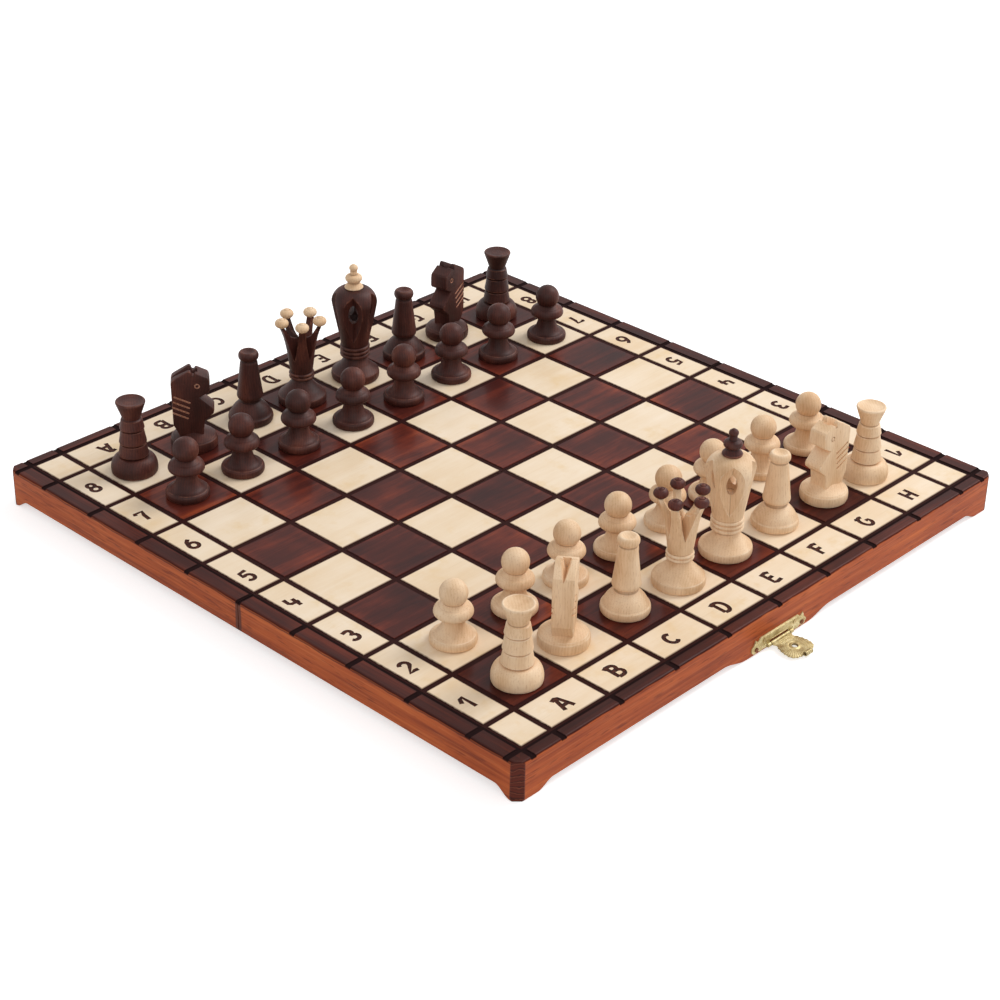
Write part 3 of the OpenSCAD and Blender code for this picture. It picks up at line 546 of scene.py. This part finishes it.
point, coat = finish("plain_beech", Specular_IOR_Level=0.15)
by_fold = (point.parts()[1] - FOLD.y).size().ease(0.0012, 0.0006)
band = point.placed(scale=(14, 240, 300)).grain(1, 5, 0.6, 0.3)
fine = point.placed(scale=(60, 1100, 1300)).grain(1, 3, 0.6)
plain = (band * 0.7 + fine * 0.3).ramp(
    (0.3, srgb(196, 156, 108)), (0.5, srgb(218, 184, 138)), (0.72, srgb(234, 206, 164)))
plain = (by_fold * (band.ease(0.3, 0.6) * 0.5 + 0.3)).tint(plain, srgb(92, 52, 38))
plain_wood = coat(plain, rough=fine * 0.25 + 0.5, height=band * 0.5 + fine * 0.5, depth=0.0001)


def dress(material, *nodes):
    """Gives a finish to nodes that keep their own shape."""
    for node in nodes:
        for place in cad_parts[node].material_slots:
            place.material = material


dress(plain_wood, "front_hinge_wall", "back_hinge_wall", "front_divider", "back_divider")

# ---------- Hinges and nails ----------
# Thin brass-plated sheet: leaves rolled round a pin and nailed under the walls of the fold. The
# nodes stay; the plating is uneven, brown in its pits and rubbed bright in places.


def brass_finish(name, stamping_and_shade=None):
    """Worn brass plating. The optional function gives, from the point on the piece, the depth of stamped lines,
    which are sunk and darkened, together with any painted shade, which is darkened and sunk the same way.
    """
    point, coat = finish(name, Metallic=1)
    blotch = point.grain(420, 4, 0.6)
    scratch = point.placed(scale=(300, 2600, 900)).grain(1, 3, 0.6)
    pit = point.grain(2600, 2)
    tone = (blotch * 0.7 + scratch * 0.3).ramp(
        (0.3, srgb(150, 128, 84)), (0.44, srgb(184, 166, 120)), (0.58, srgb(206, 192, 148)),
        (0.75, srgb(224, 214, 180)))
    tone = (pit.ease(0.62, 0.72) * 0.5).tint(tone, srgb(104, 74, 42))
    relief = blotch * 0.25 + pit * 0.15
    if stamping_and_shade:
        groove = stamping_and_shade(point)
        # the stamped lines are darkened, and so is any painted shade round a hole
        tone = (groove * 0.5 + 0.16).tint(tone, srgb(112, 92, 60))
        relief = relief - groove * 0.6
    return coat(tone, rough=scratch * 0.3 + 0.4, height=relief, depth=0.0001)


brass = brass_finish("brass_plating")
dress(brass, "front_hinge_leaves", "back_hinge_leaves", "hinge_pins", "front_hinge_nails", "back_hinge_nails",
      "clasp_pin", "catch_nails", "catch_plate")

# Of the clasp's four nails, the two at the ends have rusted brown.
point, coat = finish("rusty_nail_heads", Metallic=1)
rust = point.grain(1500, 3, 0.6)
outer = point.parts()[0].size().ease(0.011, 0.013)
plated = rust.ramp((0.35, srgb(160, 136, 90)), (0.6, srgb(206, 190, 146)))
browned = rust.ramp((0.35, srgb(84, 46, 30)), (0.7, srgb(150, 100, 66)))
rusty = coat(outer.tint(plated, browned), rough=rust * 0.3 + 0.4, height=rust, depth=0.00006)
dress(rusty, "clasp_nails")

# ---------- Clasp plate ----------
# Pressed from thin brass sheet and nailed to the front wall: a straight raised top edge, two
# spikes and a scalloped foot at each end, and a rolled ear on each side of the hasp's barrel.

MM = 0.001      # from here on, pieces are drawn in millimetres and brought to size at the end
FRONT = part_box("front_wall")[0].y
plate_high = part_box("clasp_plate")[1]
PLATE_HALF, PLATE_TOP = plate_high.x * 1000, plate_high.z * 1000
PIN = (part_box("clasp_pin")[0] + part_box("clasp_pin")[1]) / 2
PIN_OUT, PIN_UP = (PIN.y - FRONT) * 1000, PIN.z * 1000
SLOT, SHEET, SHEET_EDGE = 3.6, 0.6, 0.16
EYE_OUT, EYE_IN, EYE_EDGE = 0.9, 0.42, 0.12
LONG_STRETCH, NEAR_CORNER = 1.3, 0.35
half_plate = [(12.2, PLATE_TOP), (12.7, PLATE_TOP - 0.3), (13.8, PLATE_TOP - 1.4), (14.9, PLATE_TOP - 0.6),
              (15.6, PLATE_TOP), (15.8, PLATE_TOP - 1.3), (16.4, PLATE_TOP - 2.3), (17.2, PLATE_TOP - 3.0),
              (PLATE_HALF, PLATE_TOP - 3.8), (17.8, 2.8), (17.1, 1.7), (16.3, 1.2), (15.5, 1.1), (14.7, 1.6),
              (13.9, 1.9), (12.7, 1.2), (11.6, 1.0), (10.4, 1.5), (9.0, 1.2), (6.15, 1.5), (6.15, SLOT)]


def sheet_metal(outline, holes, thick, edge):
    """A flat plate with its back on y = 0 and its front, with softened rims, at y = -thick."""
    plate = bmesh.new()
    rims = []
    for loop in [outline] + holes:
        ring = [plate.verts.new((u, 0, w)) for u, w in loop]
        rims += [plate.edges.new(pair) for pair in zip(ring, ring[1:] + ring[:1])]
    bmesh.ops.triangle_fill(plate, edges=rims, use_beauty=True, use_dissolve=True)
    drawn = bmesh.ops.extrude_face_region(plate, geom=plate.faces[:])["geom"]
    front = {v for v in drawn if isinstance(v, bmesh.types.BMVert)}
    bmesh.ops.translate(plate, vec=(0, -thick, 0), verts=list(front))
    bmesh.ops.recalc_face_normals(plate, faces=plate.faces)
    edges = [e for e in plate.edges if all(v in front for v in e.verts) and e.calc_face_angle(0) > 0.5]
    bmesh.ops.bevel(plate, geom=edges, offset=edge, segments=2, profile=0.5, material=-1, affect="EDGES")
    return plate


def turned(profile, segments=56):
    """A body turned on the lathe from its half outline of (radius, height) in millimetres. Long stretches get a ring
    near each end, so that wear, and the painted shade where the outline runs in, stay near the corners."""
    outline = [profile[0]]
    for (r, h), (far_r, far_h) in zip(profile, profile[1:]):
        length = math.hypot(far_r - r, far_h - h)
        if length > LONG_STRETCH:
            near = NEAR_CORNER / length
            outline += [(r + (far_r - r) * t, h + (far_h - h) * t) for t in (near, 1 - near)]
        outline.append((far_r, far_h))
    shape = bmesh.new()
    rim = [shape.verts.new((r, 0, h)) for r, h in outline]
    edges = [shape.edges.new(pair) for pair in zip(rim, rim[1:])]
    bmesh.ops.spin(shape, geom=rim + edges, axis=(0, 0, 1), cent=(0, 0, 0), angle=2 * math.pi,
                   steps=segments, use_merge=True)
    bmesh.ops.remove_doubles(shape, verts=shape.verts, dist=0.0005)
    bmesh.ops.recalc_face_normals(shape, faces=shape.faces)
    return shape


def pooled(*shapes):
    """Several shapes in one bmesh."""
    pool = shapes[0]
    for shape in shapes[1:]:
        spare = bpy.data.meshes.new("spare")
        shape.to_mesh(spare)
        shape.free()
        pool.from_mesh(spare)
        bpy.data.meshes.remove(spare)
    return pool


def spun(shape, axis, degrees):
    """Turns a shape about an axis through the origin."""
    bmesh.ops.rotate(shape, verts=shape.verts, cent=(0, 0, 0),
                     matrix=Matrix.Rotation(math.radians(degrees), 3, axis))
    return shape


def rolled(length, middle):
    """An eye of sheet rolled round the pin, along X, with softened rims."""
    end = length / 2
    eye = turned([(EYE_IN, -end), (EYE_OUT - EYE_EDGE, -end), (EYE_OUT, -end + EYE_EDGE),
                  (EYE_OUT, end - EYE_EDGE), (EYE_OUT - EYE_EDGE, end), (EYE_IN, end), (EYE_IN, -end)], 28)
    return moved(spun(eye, "Y", 90), middle)


def bead(along, place, radius, flat):
    """A pressed rib or boss: half a rounded bar standing out of the sheet."""
    boss = bmesh.new()
    bmesh.ops.create_uvsphere(boss, u_segments=16, v_segments=8, radius=radius)
    return moved(scaled(boss, (along / radius, flat, 1)), place)


plate = sheet_metal(half_plate + [(-u, w) for u, w in reversed(half_plate)], [], SHEET, SHEET_EDGE)
extras = [bead(11.6, (0, -SHEET, PLATE_TOP - 0.65), 0.42, 0.6), bead(5.9, (0, -SHEET, SLOT + 0.45), 0.3, 0.7)]
for side in (-1, 1):
    extras += [bead(1.0, (side * 14.6, -SHEET, PLATE_TOP - 2.4), 0.55, 0.6),
               bead(0.5, (side * 12.3, -SHEET, 3.2), 0.5, 0.6),
               bead(0.4, (side * 17.0, -SHEET, 3.4), 0.4, 0.6),
               bead(0.45, (side * 15.5, -SHEET, PLATE_TOP - 1.2), 0.3, 0.6),
               rolled(2, (side * 7.3, PIN_OUT, PIN_UP)),
               bead(0.8, (side * 9.2, -SHEET - 0.02, 2.6), 0.8, 0.8)]
plate = moved(scaled(pooled(plate, *extras), (MM, MM, MM)), (0, FRONT, 0))
piece = new_piece("pressed_clasp_plate", plate, brass, crisp=40)
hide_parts("clasp_plate")
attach(piece, "front_half")

# ---------- Hasp ----------
# Stamped brass sheet rolled round the clasp's pin: a ribbed neck, a shell with a scalloped rim
# and fine rays round the drawn eyelet that drops over the catch, and a tab curled up at the tip.

DROOP = 4                       # degrees
HOLE_AT, HOLE = 7.6, 1.3        # out from the pin, and the radius
SHELL, SHELL_EDGE = 0.5, 0.14
TAB_AT, TAB_UP, TAB, TAB_HALF, TAB_THICK = 14.4, 0.85, 1.08, 2, 0.4
RAYS, WEB = 44, 900             # rays round the hole, and rings to the metre
SCALLOP, SCALLOP_STEPS = 0.42, 6


def rays_and_hole_shade(point):
    """Fine lines stamped round the hole, with rings across them, and a ring at its rim that is painted shade:
    darkened, and sunk a little, so that the hole looks dark.
    """
    x, y, _ = point.placed(move=(0, -PIN.y + MM * HOLE_AT * math.cos(math.radians(DROOP)), 0)).parts()
    far = (x * x + y * y).sum("SQRT")
    ray = ((x.sum("ARCTAN2", y) * (RAYS / (2 * math.pi))).fraction() - 0.5).size().ease(0.26, 0.1)
    web = ((far * WEB).fraction() - 0.5).size().ease(0.2, 0.08) * 0.5
    lines = ray.most(web) * far.ease(0.0028, 0.0032) * (y - 0.0035).ease(0.0006, 0.0)
    # painted shade: the ring just round the hole is darkened so that the hole looks dark
    return lines.most(far.ease(0.0016, 0.00145) * 1.3)


shell_brass = brass_finish("stamped_brass_and_hole_shade", rays_and_hole_shade)
half_shell = [(6, 0.6), (6, 1.5), (5.5, 2.1), (5.4, 2.7)]
cusps = [(5.6, 3.3), (6.5, 5.2), (7.1, 7.2), (7.3, 9.3), (7.1, 11.2), (5.9, 12.6), (4.0, 13.3), (2.0, 13.6)]
for (u, v), (far_u, far_v) in zip(cusps, cusps[1:]):
    reach = math.hypot(far_u - u, far_v - v)
    for step in range(SCALLOP_STEPS):
        share = step / SCALLOP_STEPS
        out = SCALLOP * math.sin(math.pi * share)
        half_shell.append((u + (far_u - u) * share + out * (far_v - v) / reach,
                           v + (far_v - v) * share - out * (far_u - u) / reach))
half_shell += [(TAB_HALF, 13.6), (TAB_HALF, TAB_AT - 0.1)]
hole = [(HOLE * math.cos(math.pi * i / 12), HOLE_AT + HOLE * math.sin(math.pi * i / 12)) for i in range(24)]
shell = sheet_metal(half_shell + [(-u, v) for u, v in reversed(half_shell)], [hole], SHELL, SHELL_EDGE)
moved(shell, (0, SHELL / 2, 0))
laid_flat = Matrix(((1, 0, 0, 0), (0, 0, -1, 0), (0, -1, 0, 0), (0, 0, 0, 1)))
bmesh.ops.transform(shell, matrix=laid_flat, verts=shell.verts)
turns = [math.radians(-100 + 20 * i) for i in range(16)]
strip = [(-TAB_AT - r * math.cos(a), TAB_UP + r * math.sin(a))
         for r, row in ((TAB, turns), (TAB - TAB_THICK, turns[::-1])) for a in row]
curl = drawn_out([(-TAB_HALF, v, w) for v, w in strip], (2 * TAB_HALF, 0, 0))
eyelet = turned([(HOLE, -0.38), (HOLE, 0.42), (HOLE + 0.1, 0.5), (HOLE + 0.3, 0.5), (HOLE + 0.7, 0.36),
                 (HOLE + 1.2, 0.26), (HOLE + 1.2, 0.1), (HOLE + 0.28, 0.1), (HOLE + 0.28, -0.38), (HOLE, -0.38)], 32)
moved(eyelet, (0, -HOLE_AT, 0))
ribs = [bead(5.0, (0, -v, 0.2), 0.28, 1.0) for v in (1.5, 2.3, 3.1)]
hasp = pooled(shell, curl, eyelet, rolled(12, (0, 0, 0)), *ribs)
bmesh.ops.recalc_face_normals(hasp, faces=hasp.faces)
moved(scaled(spun(hasp, "X", DROOP), (MM, MM, MM)), PIN)
piece = new_piece("stamped_hasp", hasp, shell_brass, crisp=40)
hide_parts("clasp_hasp")
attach(piece, "hasp")

# ---------- Pawns ----------
# Turned from one piece of beech, or of the same wood stained to walnut: a foot with an upright
# edge, a hollow neck, a round collar and a ball. They stand loose on their squares.


def turned_wood(name, shades, fleck, crease_shade, bare):
    """Wood with upright grain and year rings, darkened with painted shade where its outline runs in, and handled
    pale on its edges. The rings run round a pith that lies beside each man, at the same place in every square."""
    point, coat = finish(name, Specular_IOR_Level=0.25)
    x, y, z = point.placed(move=(0, -FOLD.y, 0)).parts()
    aside, behind = [(u / SQUARE + 8).fraction() - 0.5 + pith for u, pith in ((x, 0.75), (y, -0.5))]
    drift = (point.grain(60, 2) - 0.5) * 0.14
    spread = (aside * aside + behind * behind).sum("SQRT") + drift
    rings = (spread * 176).sum("SINE") * 0.5 + 0.5
    fibre = point.placed(scale=(1700, 1700, 90)).grain(1, 4, 0.65, 0.3)
    speck = point.placed(scale=(2300, 2300, 300)).grain(1, 2, 0.5)
    patch = point.placed(scale=(95, 95, 34)).grain(1, 3, 0.5)
    worn = point.node("Attribute", out=2, attribute_name="worn")
    tone = (rings * 0.06 + fibre * 0.16 + patch * 0.92 - 0.07).ramp(*shades)
    tone = (speck.ease(0.56, 0.68) * 0.36).tint(tone, fleck)
    # painted shade: where the outline runs in, the wood is darkened to the third colour given
    tone = (worn.ease(-0.3, -0.9) * 0.5).tint(tone, crease_shade)
    tone = (worn.ease(0.3, 0.8) * (point.grain(320, 3).ease(0.35, 0.62) * 0.65)).tint(tone, bare)
    lathe = (z * 2400 + point.grain(80, 1) * 2).sum("SINE")
    return coat(tone, rough=fibre * 0.3 + 0.36, height=fibre * 0.4 + lathe * 0.08 + speck * 0.3, depth=0.0001)


# For each wood: its tones, the colour of its flecks, the painted shade where the outline runs in, and the colour of
# its handled edges.
light_wood = turned_wood("turned_beech", (
    (0.26, srgb(212, 170, 128)), (0.42, srgb(229, 192, 152)), (0.56, srgb(240, 207, 170)),
    (0.76, srgb(248, 221, 188))),
    srgb(198, 152, 110), srgb(118, 76, 50), srgb(248, 226, 198))
dark_wood = turned_wood("turned_walnut", (
    (0.26, srgb(42, 18, 15)), (0.42, srgb(58, 27, 22)), (0.56, srgb(76, 37, 30)), (0.76, srgb(110, 60, 46))),
    srgb(30, 14, 12), srgb(18, 9, 9), srgb(124, 78, 62))
red_wood = turned_wood("turned_finials", (
    (0.26, srgb(46, 19, 16)), (0.42, srgb(66, 28, 23)), (0.56, srgb(86, 39, 31)), (0.76, srgb(120, 62, 48))),
    srgb(34, 15, 12), srgb(24, 11, 10), srgb(136, 84, 66))
woods = {"light": light_wood, "dark": dark_wood, "red": red_wood}
LIFT = 0.1       # millimetres between the men's undersides and the playing face
FULL_BEND = 0.7  # radians between two faces that count as a sharp edge


def set_down(shape, node, wood, turn=0, second=None, crisp=38, small=4):
    """Stands a man, or what is glued on one, drawn in millimetres on his own axis, on his square. Faces under small
    square millimetres are marked for wear where an edge stands out, and for painted shade where it runs in."""
    man = node.replace("_balls", "").replace("_finial", "")
    low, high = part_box(man)
    spun(shape, "Z", turn)
    worn = shape.loops.layers.float.new("worn")
    bent = {}
    for v in shape.verts:
        sharpest = max((e.calc_face_angle_signed(0) for e in v.link_edges), key=abs, default=0)
        bent[v] = max(-1, min(1, sharpest / FULL_BEND))
    for face in shape.faces:
        near = face.calc_area() < small
        for corner in face.loops:
            corner[worn] = bent[corner.vert] if near else 0
    moved(scaled(shape, (MM, MM, MM)), ((low.x + high.x) / 2, (low.y + high.y) / 2, TOP + LIFT * MM))
    piece = new_piece("turned_" + node, shape, woods[wood], *([second] if second else []), crisp=crisp)
    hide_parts(node)
    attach(piece, "man_" + man)


PAWN = [(0, 0.25), (7.2, 0.25), (7.6, 0), (9.1, 0)] + arc((9.1, 1.6), (0.6, 1.6), -60, 60, 6) + [(9.1, 3.3)]
PAWN += arc((8.8, 12), (4.6, 8.4), -90, -180, 9) + arc((5.65, 13.9), (2.4, 1.9), -86, 0, 7)
PAWN += arc((5.65, 13.9), (2.4, 2.9), 10, 82, 7) + arc((0, 22.2), (5.8, 5.8), -43, 90, 16)
for shade in ("light", "dark"):
    for file in "abcdefgh":
        set_down(turned(PAWN), f"{shade}_pawn_{file}", shade)

# ---------- Rooks ----------
# Turned towers: the shaft is stacked of four drums, parted by scored grooves, under a flared head
# with a dished top.

ROOK_HIGH = (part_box("light_rook_a")[1].z - TOP) * 1000 - LIFT


def shaft(z):
    """The rook's radius at a height."""
    return 6.5 - 1.75 * (z - 8.1) / 19.3


ROOK = [(0, 0.3), (7.6, 0.3), (8, 0), (9.7, 0), (10.15, 0.4), (10.35, 1.2)]
ROOK += arc((6.6, 2.5), (3.8, 5.6), 0, 82, 10)
ROOK += [(shaft(8.1) - 0.85, 8.1), (shaft(8.1) - 0.85, 8.45), (shaft(8.4) + 0.1, 8.75), (shaft(8.4) + 0.2, 9.1)]
for z in (14.5, 21.3):
    ROOK += [(shaft(z) - 0.1, z - 0.75), (shaft(z) - 0.25, z - 0.5), (shaft(z) - 0.85, z - 0.3),
             (shaft(z) - 0.85, z + 0.05), (shaft(z) + 0.1, z + 0.3), (shaft(z) + 0.22, z + 0.6)]
ROOK += [(shaft(26.6) - 0.1, 26.0), (shaft(27) - 0.7, 26.35), (3.95, 26.6), (4.1, 27.1), (4.45, 28.0), (5.0, 29.7)]
ROOK += [(5.65, 31.5), (6.2, 33.0), (6.35, 33.6)] + arc((6.0, ROOK_HIGH - 0.7), (0.62, 0.7), -20, 90, 5)
ROOK += [(5.3, ROOK_HIGH - 0.35), (3.4, ROOK_HIGH - 0.75), (0, ROOK_HIGH - 0.8)]
for shade in ("light", "dark"):
    for file in "ah":
        set_down(turned(ROOK), f"{shade}_rook_{file}", shade)

# ---------- Bishops ----------
# A domed foot, a thin ring and a long cone that is widest low down, under a dished bead. They
# are as high as the rooks.


def foot(radius, edge, slope):
    """A foot: its upright rounded edge, a small step, then the slope up to the neck."""
    return ([(0, 0.3), (radius - 2.8, 0.3), (radius - 2.4, 0), (radius - 0.7, 0)]
            + arc((radius - 0.7, edge / 2), (0.7, edge / 2), -60, 60, 6) + [(radius - 0.8, edge + 0.05)] + slope)


BISHOP = foot(10.4, 3.8, [(9.4, 4.1), (9.0, 5.2), (8.3, 6.4), (7.4, 7.6), (6.4, 8.7), (5.5, 9.6),
                          (4.8, 10.1), (4.6, 10.8), (4.7, 11.4)])
BISHOP += arc((5.0, 13.2), (1.05, 1.7), -75, 20, 7) + [(5.6, 16.5), (4.0, 29.7), (3.75, 30.2)]
BISHOP += arc((3.2, ROOK_HIGH - 2.1), (1.5, 2.1), -70, 90, 9)
BISHOP += [(2.5, ROOK_HIGH - 0.3), (1.2, ROOK_HIGH - 0.75), (0, ROOK_HIGH - 0.8)]
for shade in ("light", "dark"):
    for file in "cf":
        set_down(turned(BISHOP), f"{shade}_bishop_{file}", shade)

# ---------- Knights ----------
# A sawn and carved horse's head on a turned foot: a V parts the ears, slanted saw cuts make the
# mane and a drilled ring is the eye. On the stained ones the cuts show the bare wood.

HEAD_TOP, KNIGHT_THICK, MERGE = 39, 8.8, 0.003
KNIGHT_SCALE = ((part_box("light_knight_b")[1].z - TOP) * 1000 - LIFT) / HEAD_TOP
HEAD = [(-6.4, 7.0), (-7.4, 9.4), (-8.8, 12.2), (-9.1, 33.0), (-8.6, 34.4), (-7.2, 35.4), (-1.3, 38.9),
        (-0.6, 39.0), (0.0, 38.5), (0.6, 36.9), (1.4, 36.9), (1.9, 37.7), (2.5, 37.9), (7.2, 35.6), (7.8, 34.8),
        (8.1, 33.2), (8.1, 29.2), (7.7, 28.4), (3.4, 25.8), (9.2, 20.4), (9.7, 19.2), (9.4, 17.8), (5.4, 14.2),
        (4.8, 10.6), (4.6, 7.0)]
point, coat = finish("bare_saw_cut", Specular_IOR_Level=0.1)
saw = point.grain(1500, 2)
bare_cut = coat(saw.ramp((0.3, srgb(178, 124, 100)), (0.7, srgb(222, 178, 152))),
                rough=saw * 0.2 + 0.6, height=saw, depth=0.00005)


def carved(shape, cutter, inside):
    """Takes a cutting shape out of a body; inside is the material that the cut faces get."""
    holders = []
    for name, mesh, index in (("blank", shape, 0), ("cutter", cutter, inside)):
        data = bpy.data.meshes.new(name)
        for face in mesh.faces:
            face.material_index = index
        mesh.to_mesh(data)
        for material in (light_wood, dark_wood):
            data.materials.append(material)
        holder = bpy.data.objects.new(name, data)
        bpy.context.scene.collection.objects.link(holder)
        holders.append(holder)
    cut = holders[0].modifiers.new("cut", "BOOLEAN")
    cut.operation, cut.object, cut.solver, cut.use_self = "DIFFERENCE", holders[1], "EXACT", True
    cut.material_mode = "INDEX"
    bpy.context.view_layer.update()
    shape.clear()
    shape.from_mesh(holders[0].evaluated_get(bpy.context.evaluated_depsgraph_get()).data)
    cutter.free()
    for holder in holders:
        bpy.data.objects.remove(holder)
    bmesh.ops.remove_doubles(shape, verts=shape.verts, dist=MERGE)


def saw_cut(middle, size, turn):
    """A box turned about Y, to be taken out of the head."""
    cutter = bmesh.new()
    bmesh.ops.create_cube(cutter, size=1)
    return moved(spun(scaled(cutter, size), "Y", turn), middle)


for shade, file, turn in (("light", "b", 36), ("light", "g", 177), ("dark", "b", -40), ("dark", "g", 193)):
    head = drawn_out([(u, -KNIGHT_THICK / 2, z) for u, z in HEAD], (0, KNIGHT_THICK, 0))
    bmesh.ops.recalc_face_normals(head, faces=head.faces)
    rims = [e for e in head.edges if abs(e.verts[0].co.y - e.verts[1].co.y) < 0.01]
    bmesh.ops.bevel(head, geom=rims, offset=0.45, segments=3, profile=0.5, material=-1, affect="EDGES")
    notch = drawn_out([(-14, y, z) for y, z in ((0, 33.0), (3.0, 41), (-3.0, 41))], (17, 0, 0))
    bmesh.ops.recalc_face_normals(notch, faces=notch.faces)
    carved(head, notch, 0)
    cuts = [saw_cut((-4.4 - 0.4 * i, hand * KNIGHT_THICK / 2, 25 - 2.6 * i), (8.2, 1.5, 0.85), 25)
            for i in range(4) for hand in (-1, 1)]
    for hand in (-1, 1):
        ring = turned([(0.72, -0.4), (1.25, -0.4), (1.25, 0.4), (0.72, 0.4), (0.72, -0.4)], 24)
        cuts.append(moved(spun(ring, "X", 90), (2.6, hand * KNIGHT_THICK / 2, 31.7)))
    carved(head, pooled(*cuts), 1)
    base = turned(foot(10.7, 5.0, [(9.6, 5.5), (8.3, 6.1), (6.5, 6.9), (4.8, 7.8), (3.4, 8.7), (0, 9.0)]))
    man = scaled(pooled(base, head), (1, 1, KNIGHT_SCALE))
    cut_face = bare_cut if shade == "dark" else light_wood
    set_down(man, f"{shade}_knight_{file}", shade, turn, cut_face, crisp=22, small=0.8)

# ---------- Queens ----------
# A slender flared cup cut by five V notches into a crown, on a high domed foot with two rings. A
# flattened ball is glued on each point: of a redder stained wood on the light queen, and of bare
# beech on the dark one.

QUEEN_HIGH = (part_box("light_queen_balls")[1].z - TOP) * 1000 - LIFT
CROWN_TURN = {"light": -161, "dark": -126}
BALL_HIGH = 5.2
CROWN = QUEEN_HIGH - BALL_HIGH + 0.3
QUEEN = foot(11.4, 4.2, [(10.3, 4.5), (9.5, 5.3), (8.5, 6.4), (7.3, 7.6), (6.2, 8.8), (5.3, 9.9),
                         (4.7, 10.8), (4.4, 11.3), (4.3, 11.8)])
QUEEN += arc((4.9, 12.9), (1.05, 0.85), -80, 80, 6) + [(4.85, 13.75)] + arc((4.9, 14.6), (1.05, 0.85), -80, 80, 6)
QUEEN += [(5.2, 15.7), (5.6, 18), (6.1, 22), (6.6, 26), (7.3, 30), (8.1, 33.5), (9.1, 36.5), (9.9, CROWN - 0.5),
          (10.0, CROWN - 0.1), (9.8, CROWN), (8.4, CROWN), (6.9, 36.4), (5.4, 34), (3.5, 32.8), (0, 32.4)]
BALL = [(0, 0.3), (1.2, 0.05)] + arc((0, BALL_HIGH / 2 - 0.3), (3.2, BALL_HIGH / 2 - 0.3), -68, 60, 12)
BALL += [(1.5, 4.22), (1.35, 4.12), (1.15, 4.38), (0.5, 4.85), (0.25, 4.72), (0, 4.65)]


def wheel(reach, width, out, height, angle, segments=64):
    """A grinding wheel with a sharp rim, its axle out from the man's axis and level."""
    disc = turned([(0, -width), (reach, 0), (0, width)], segments)
    return spun(moved(spun(disc, "X", 90), (out, 0, height)), "Z", angle)


for shade, other in (("light", "red"), ("dark", "light")):
    cup = turned(QUEEN, 60)
    carved(cup, pooled(*[wheel(25, 9.0, 21.5, 42, 36 + 72 * i) for i in range(5)]), 0)
    set_down(cup, shade + "_queen", shade, CROWN_TURN[shade])
    balls = [spun(moved(turned(BALL, 32), (9.2, 0, CROWN + 0.02)), "Z", 72 * i) for i in range(5)]
    set_down(pooled(*balls), shade + "_queen_balls", other, CROWN_TURN[shade])

# ---------- Kings ----------
# A hollow turned dome on a foot with three rings. Five leaf-shaped windows are ground in from
# outside until they open into the bore; the finial of the other wood is plugged in on top.

KING_TURN = -137
KING = foot(11.5, 4.2, [(10.4, 4.5), (9.5, 5.2), (8.4, 6.2), (7.2, 7.4), (6.2, 8.8), (5.5, 10.1), (5.2, 11.0),
                        (5.4, 11.5)])
for z in (12.5, 14.5, 16.5):
    KING += arc((6.2, z), (0.95, 0.95), -75, 75, 6) + [(6.15, z + 1)]
KING = KING[:-1] + [(6.5, 17.6), (6.8, 19), (7.3, 22), (7.9, 25), (8.6, 28), (9.4, 31), (10, 34), (10.5, 36.5)]
KING += arc((4.4, 39), (6.45, 7.4), 0, 82, 10) + [(2.6, 46.55), (2.2, 46.5), (0, 46.4)]
BORE = [(0, 28), (2.6, 28.7), (3.6, 30.5), (3.9, 36), (3.6, 39.5), (2.8, 41.6), (2.2, 43.2), (2.2, 46.7), (0, 46.7)]
# The bored hollow gets a dark finish of its own: rough raw wood, darkened further as painted shade of the hollow;
# near black in the dark king.
shaded_bores = {}
for shade, deep, mild in (("light", srgb(150, 100, 60), srgb(96, 60, 40)),
                          ("dark", srgb(20, 10, 9), srgb(34, 17, 14))):
    point, coat = finish("bore_shade_" + shade, Specular_IOR_Level=0)
    rough_wood = point.placed(scale=(1700, 1700, 200)).grain(1, 3)
    shaded_bores[shade] = coat(rough_wood.ramp((0.3, deep), (0.8, mild)), rough=rough_wood * 0.2 + 0.7)
FINIAL = [(0, 44.2), (2.15, 44.2), (2.15, 46.55), (4.3, 46.6), (4.45, 47.0), (4.1, 47.6), (3.2, 48.6), (2.6, 49.5)]
FINIAL += arc((2.3, 51.4), (1.75, 1.7), -76, 80, 8) + [(1.8, 53.3), (1.65, 54.0), (1.7, 54.8)]
FINIAL += arc((0.7, 56.5), (1.4, 1.5), -50, 60, 6) + arc((0, 57.0), (1.5, 1.45), 40, 90, 5)
for shade, other, leaf in (("light", "red", 80), ("dark", "light", 58)):
    dome = turned(KING, 60)
    drills = [turned(BORE, 40)]
    for i in range(5):
        drill = scaled(turned([(0, -4.4), (2.3, -4.4), (2.3, 4.4), (0, 4.4)], 28), (2.1, 1, 1))
        drills.append(spun(moved(spun(drill, "Y", 90), (7.6, 0, 35.4)), "Z", 72 * i))
    carved(dome, pooled(*drills), 1)
    carved(dome, pooled(*[wheel(42.6, leaf, 48.5, 30.5, 72 * i, 128) for i in range(5)]), 0)
    set_down(dome, shade + "_king", shade, KING_TURN, shaded_bores[shade])
    set_down(turned(FINIAL, 40), shade + "_king_finial", other)
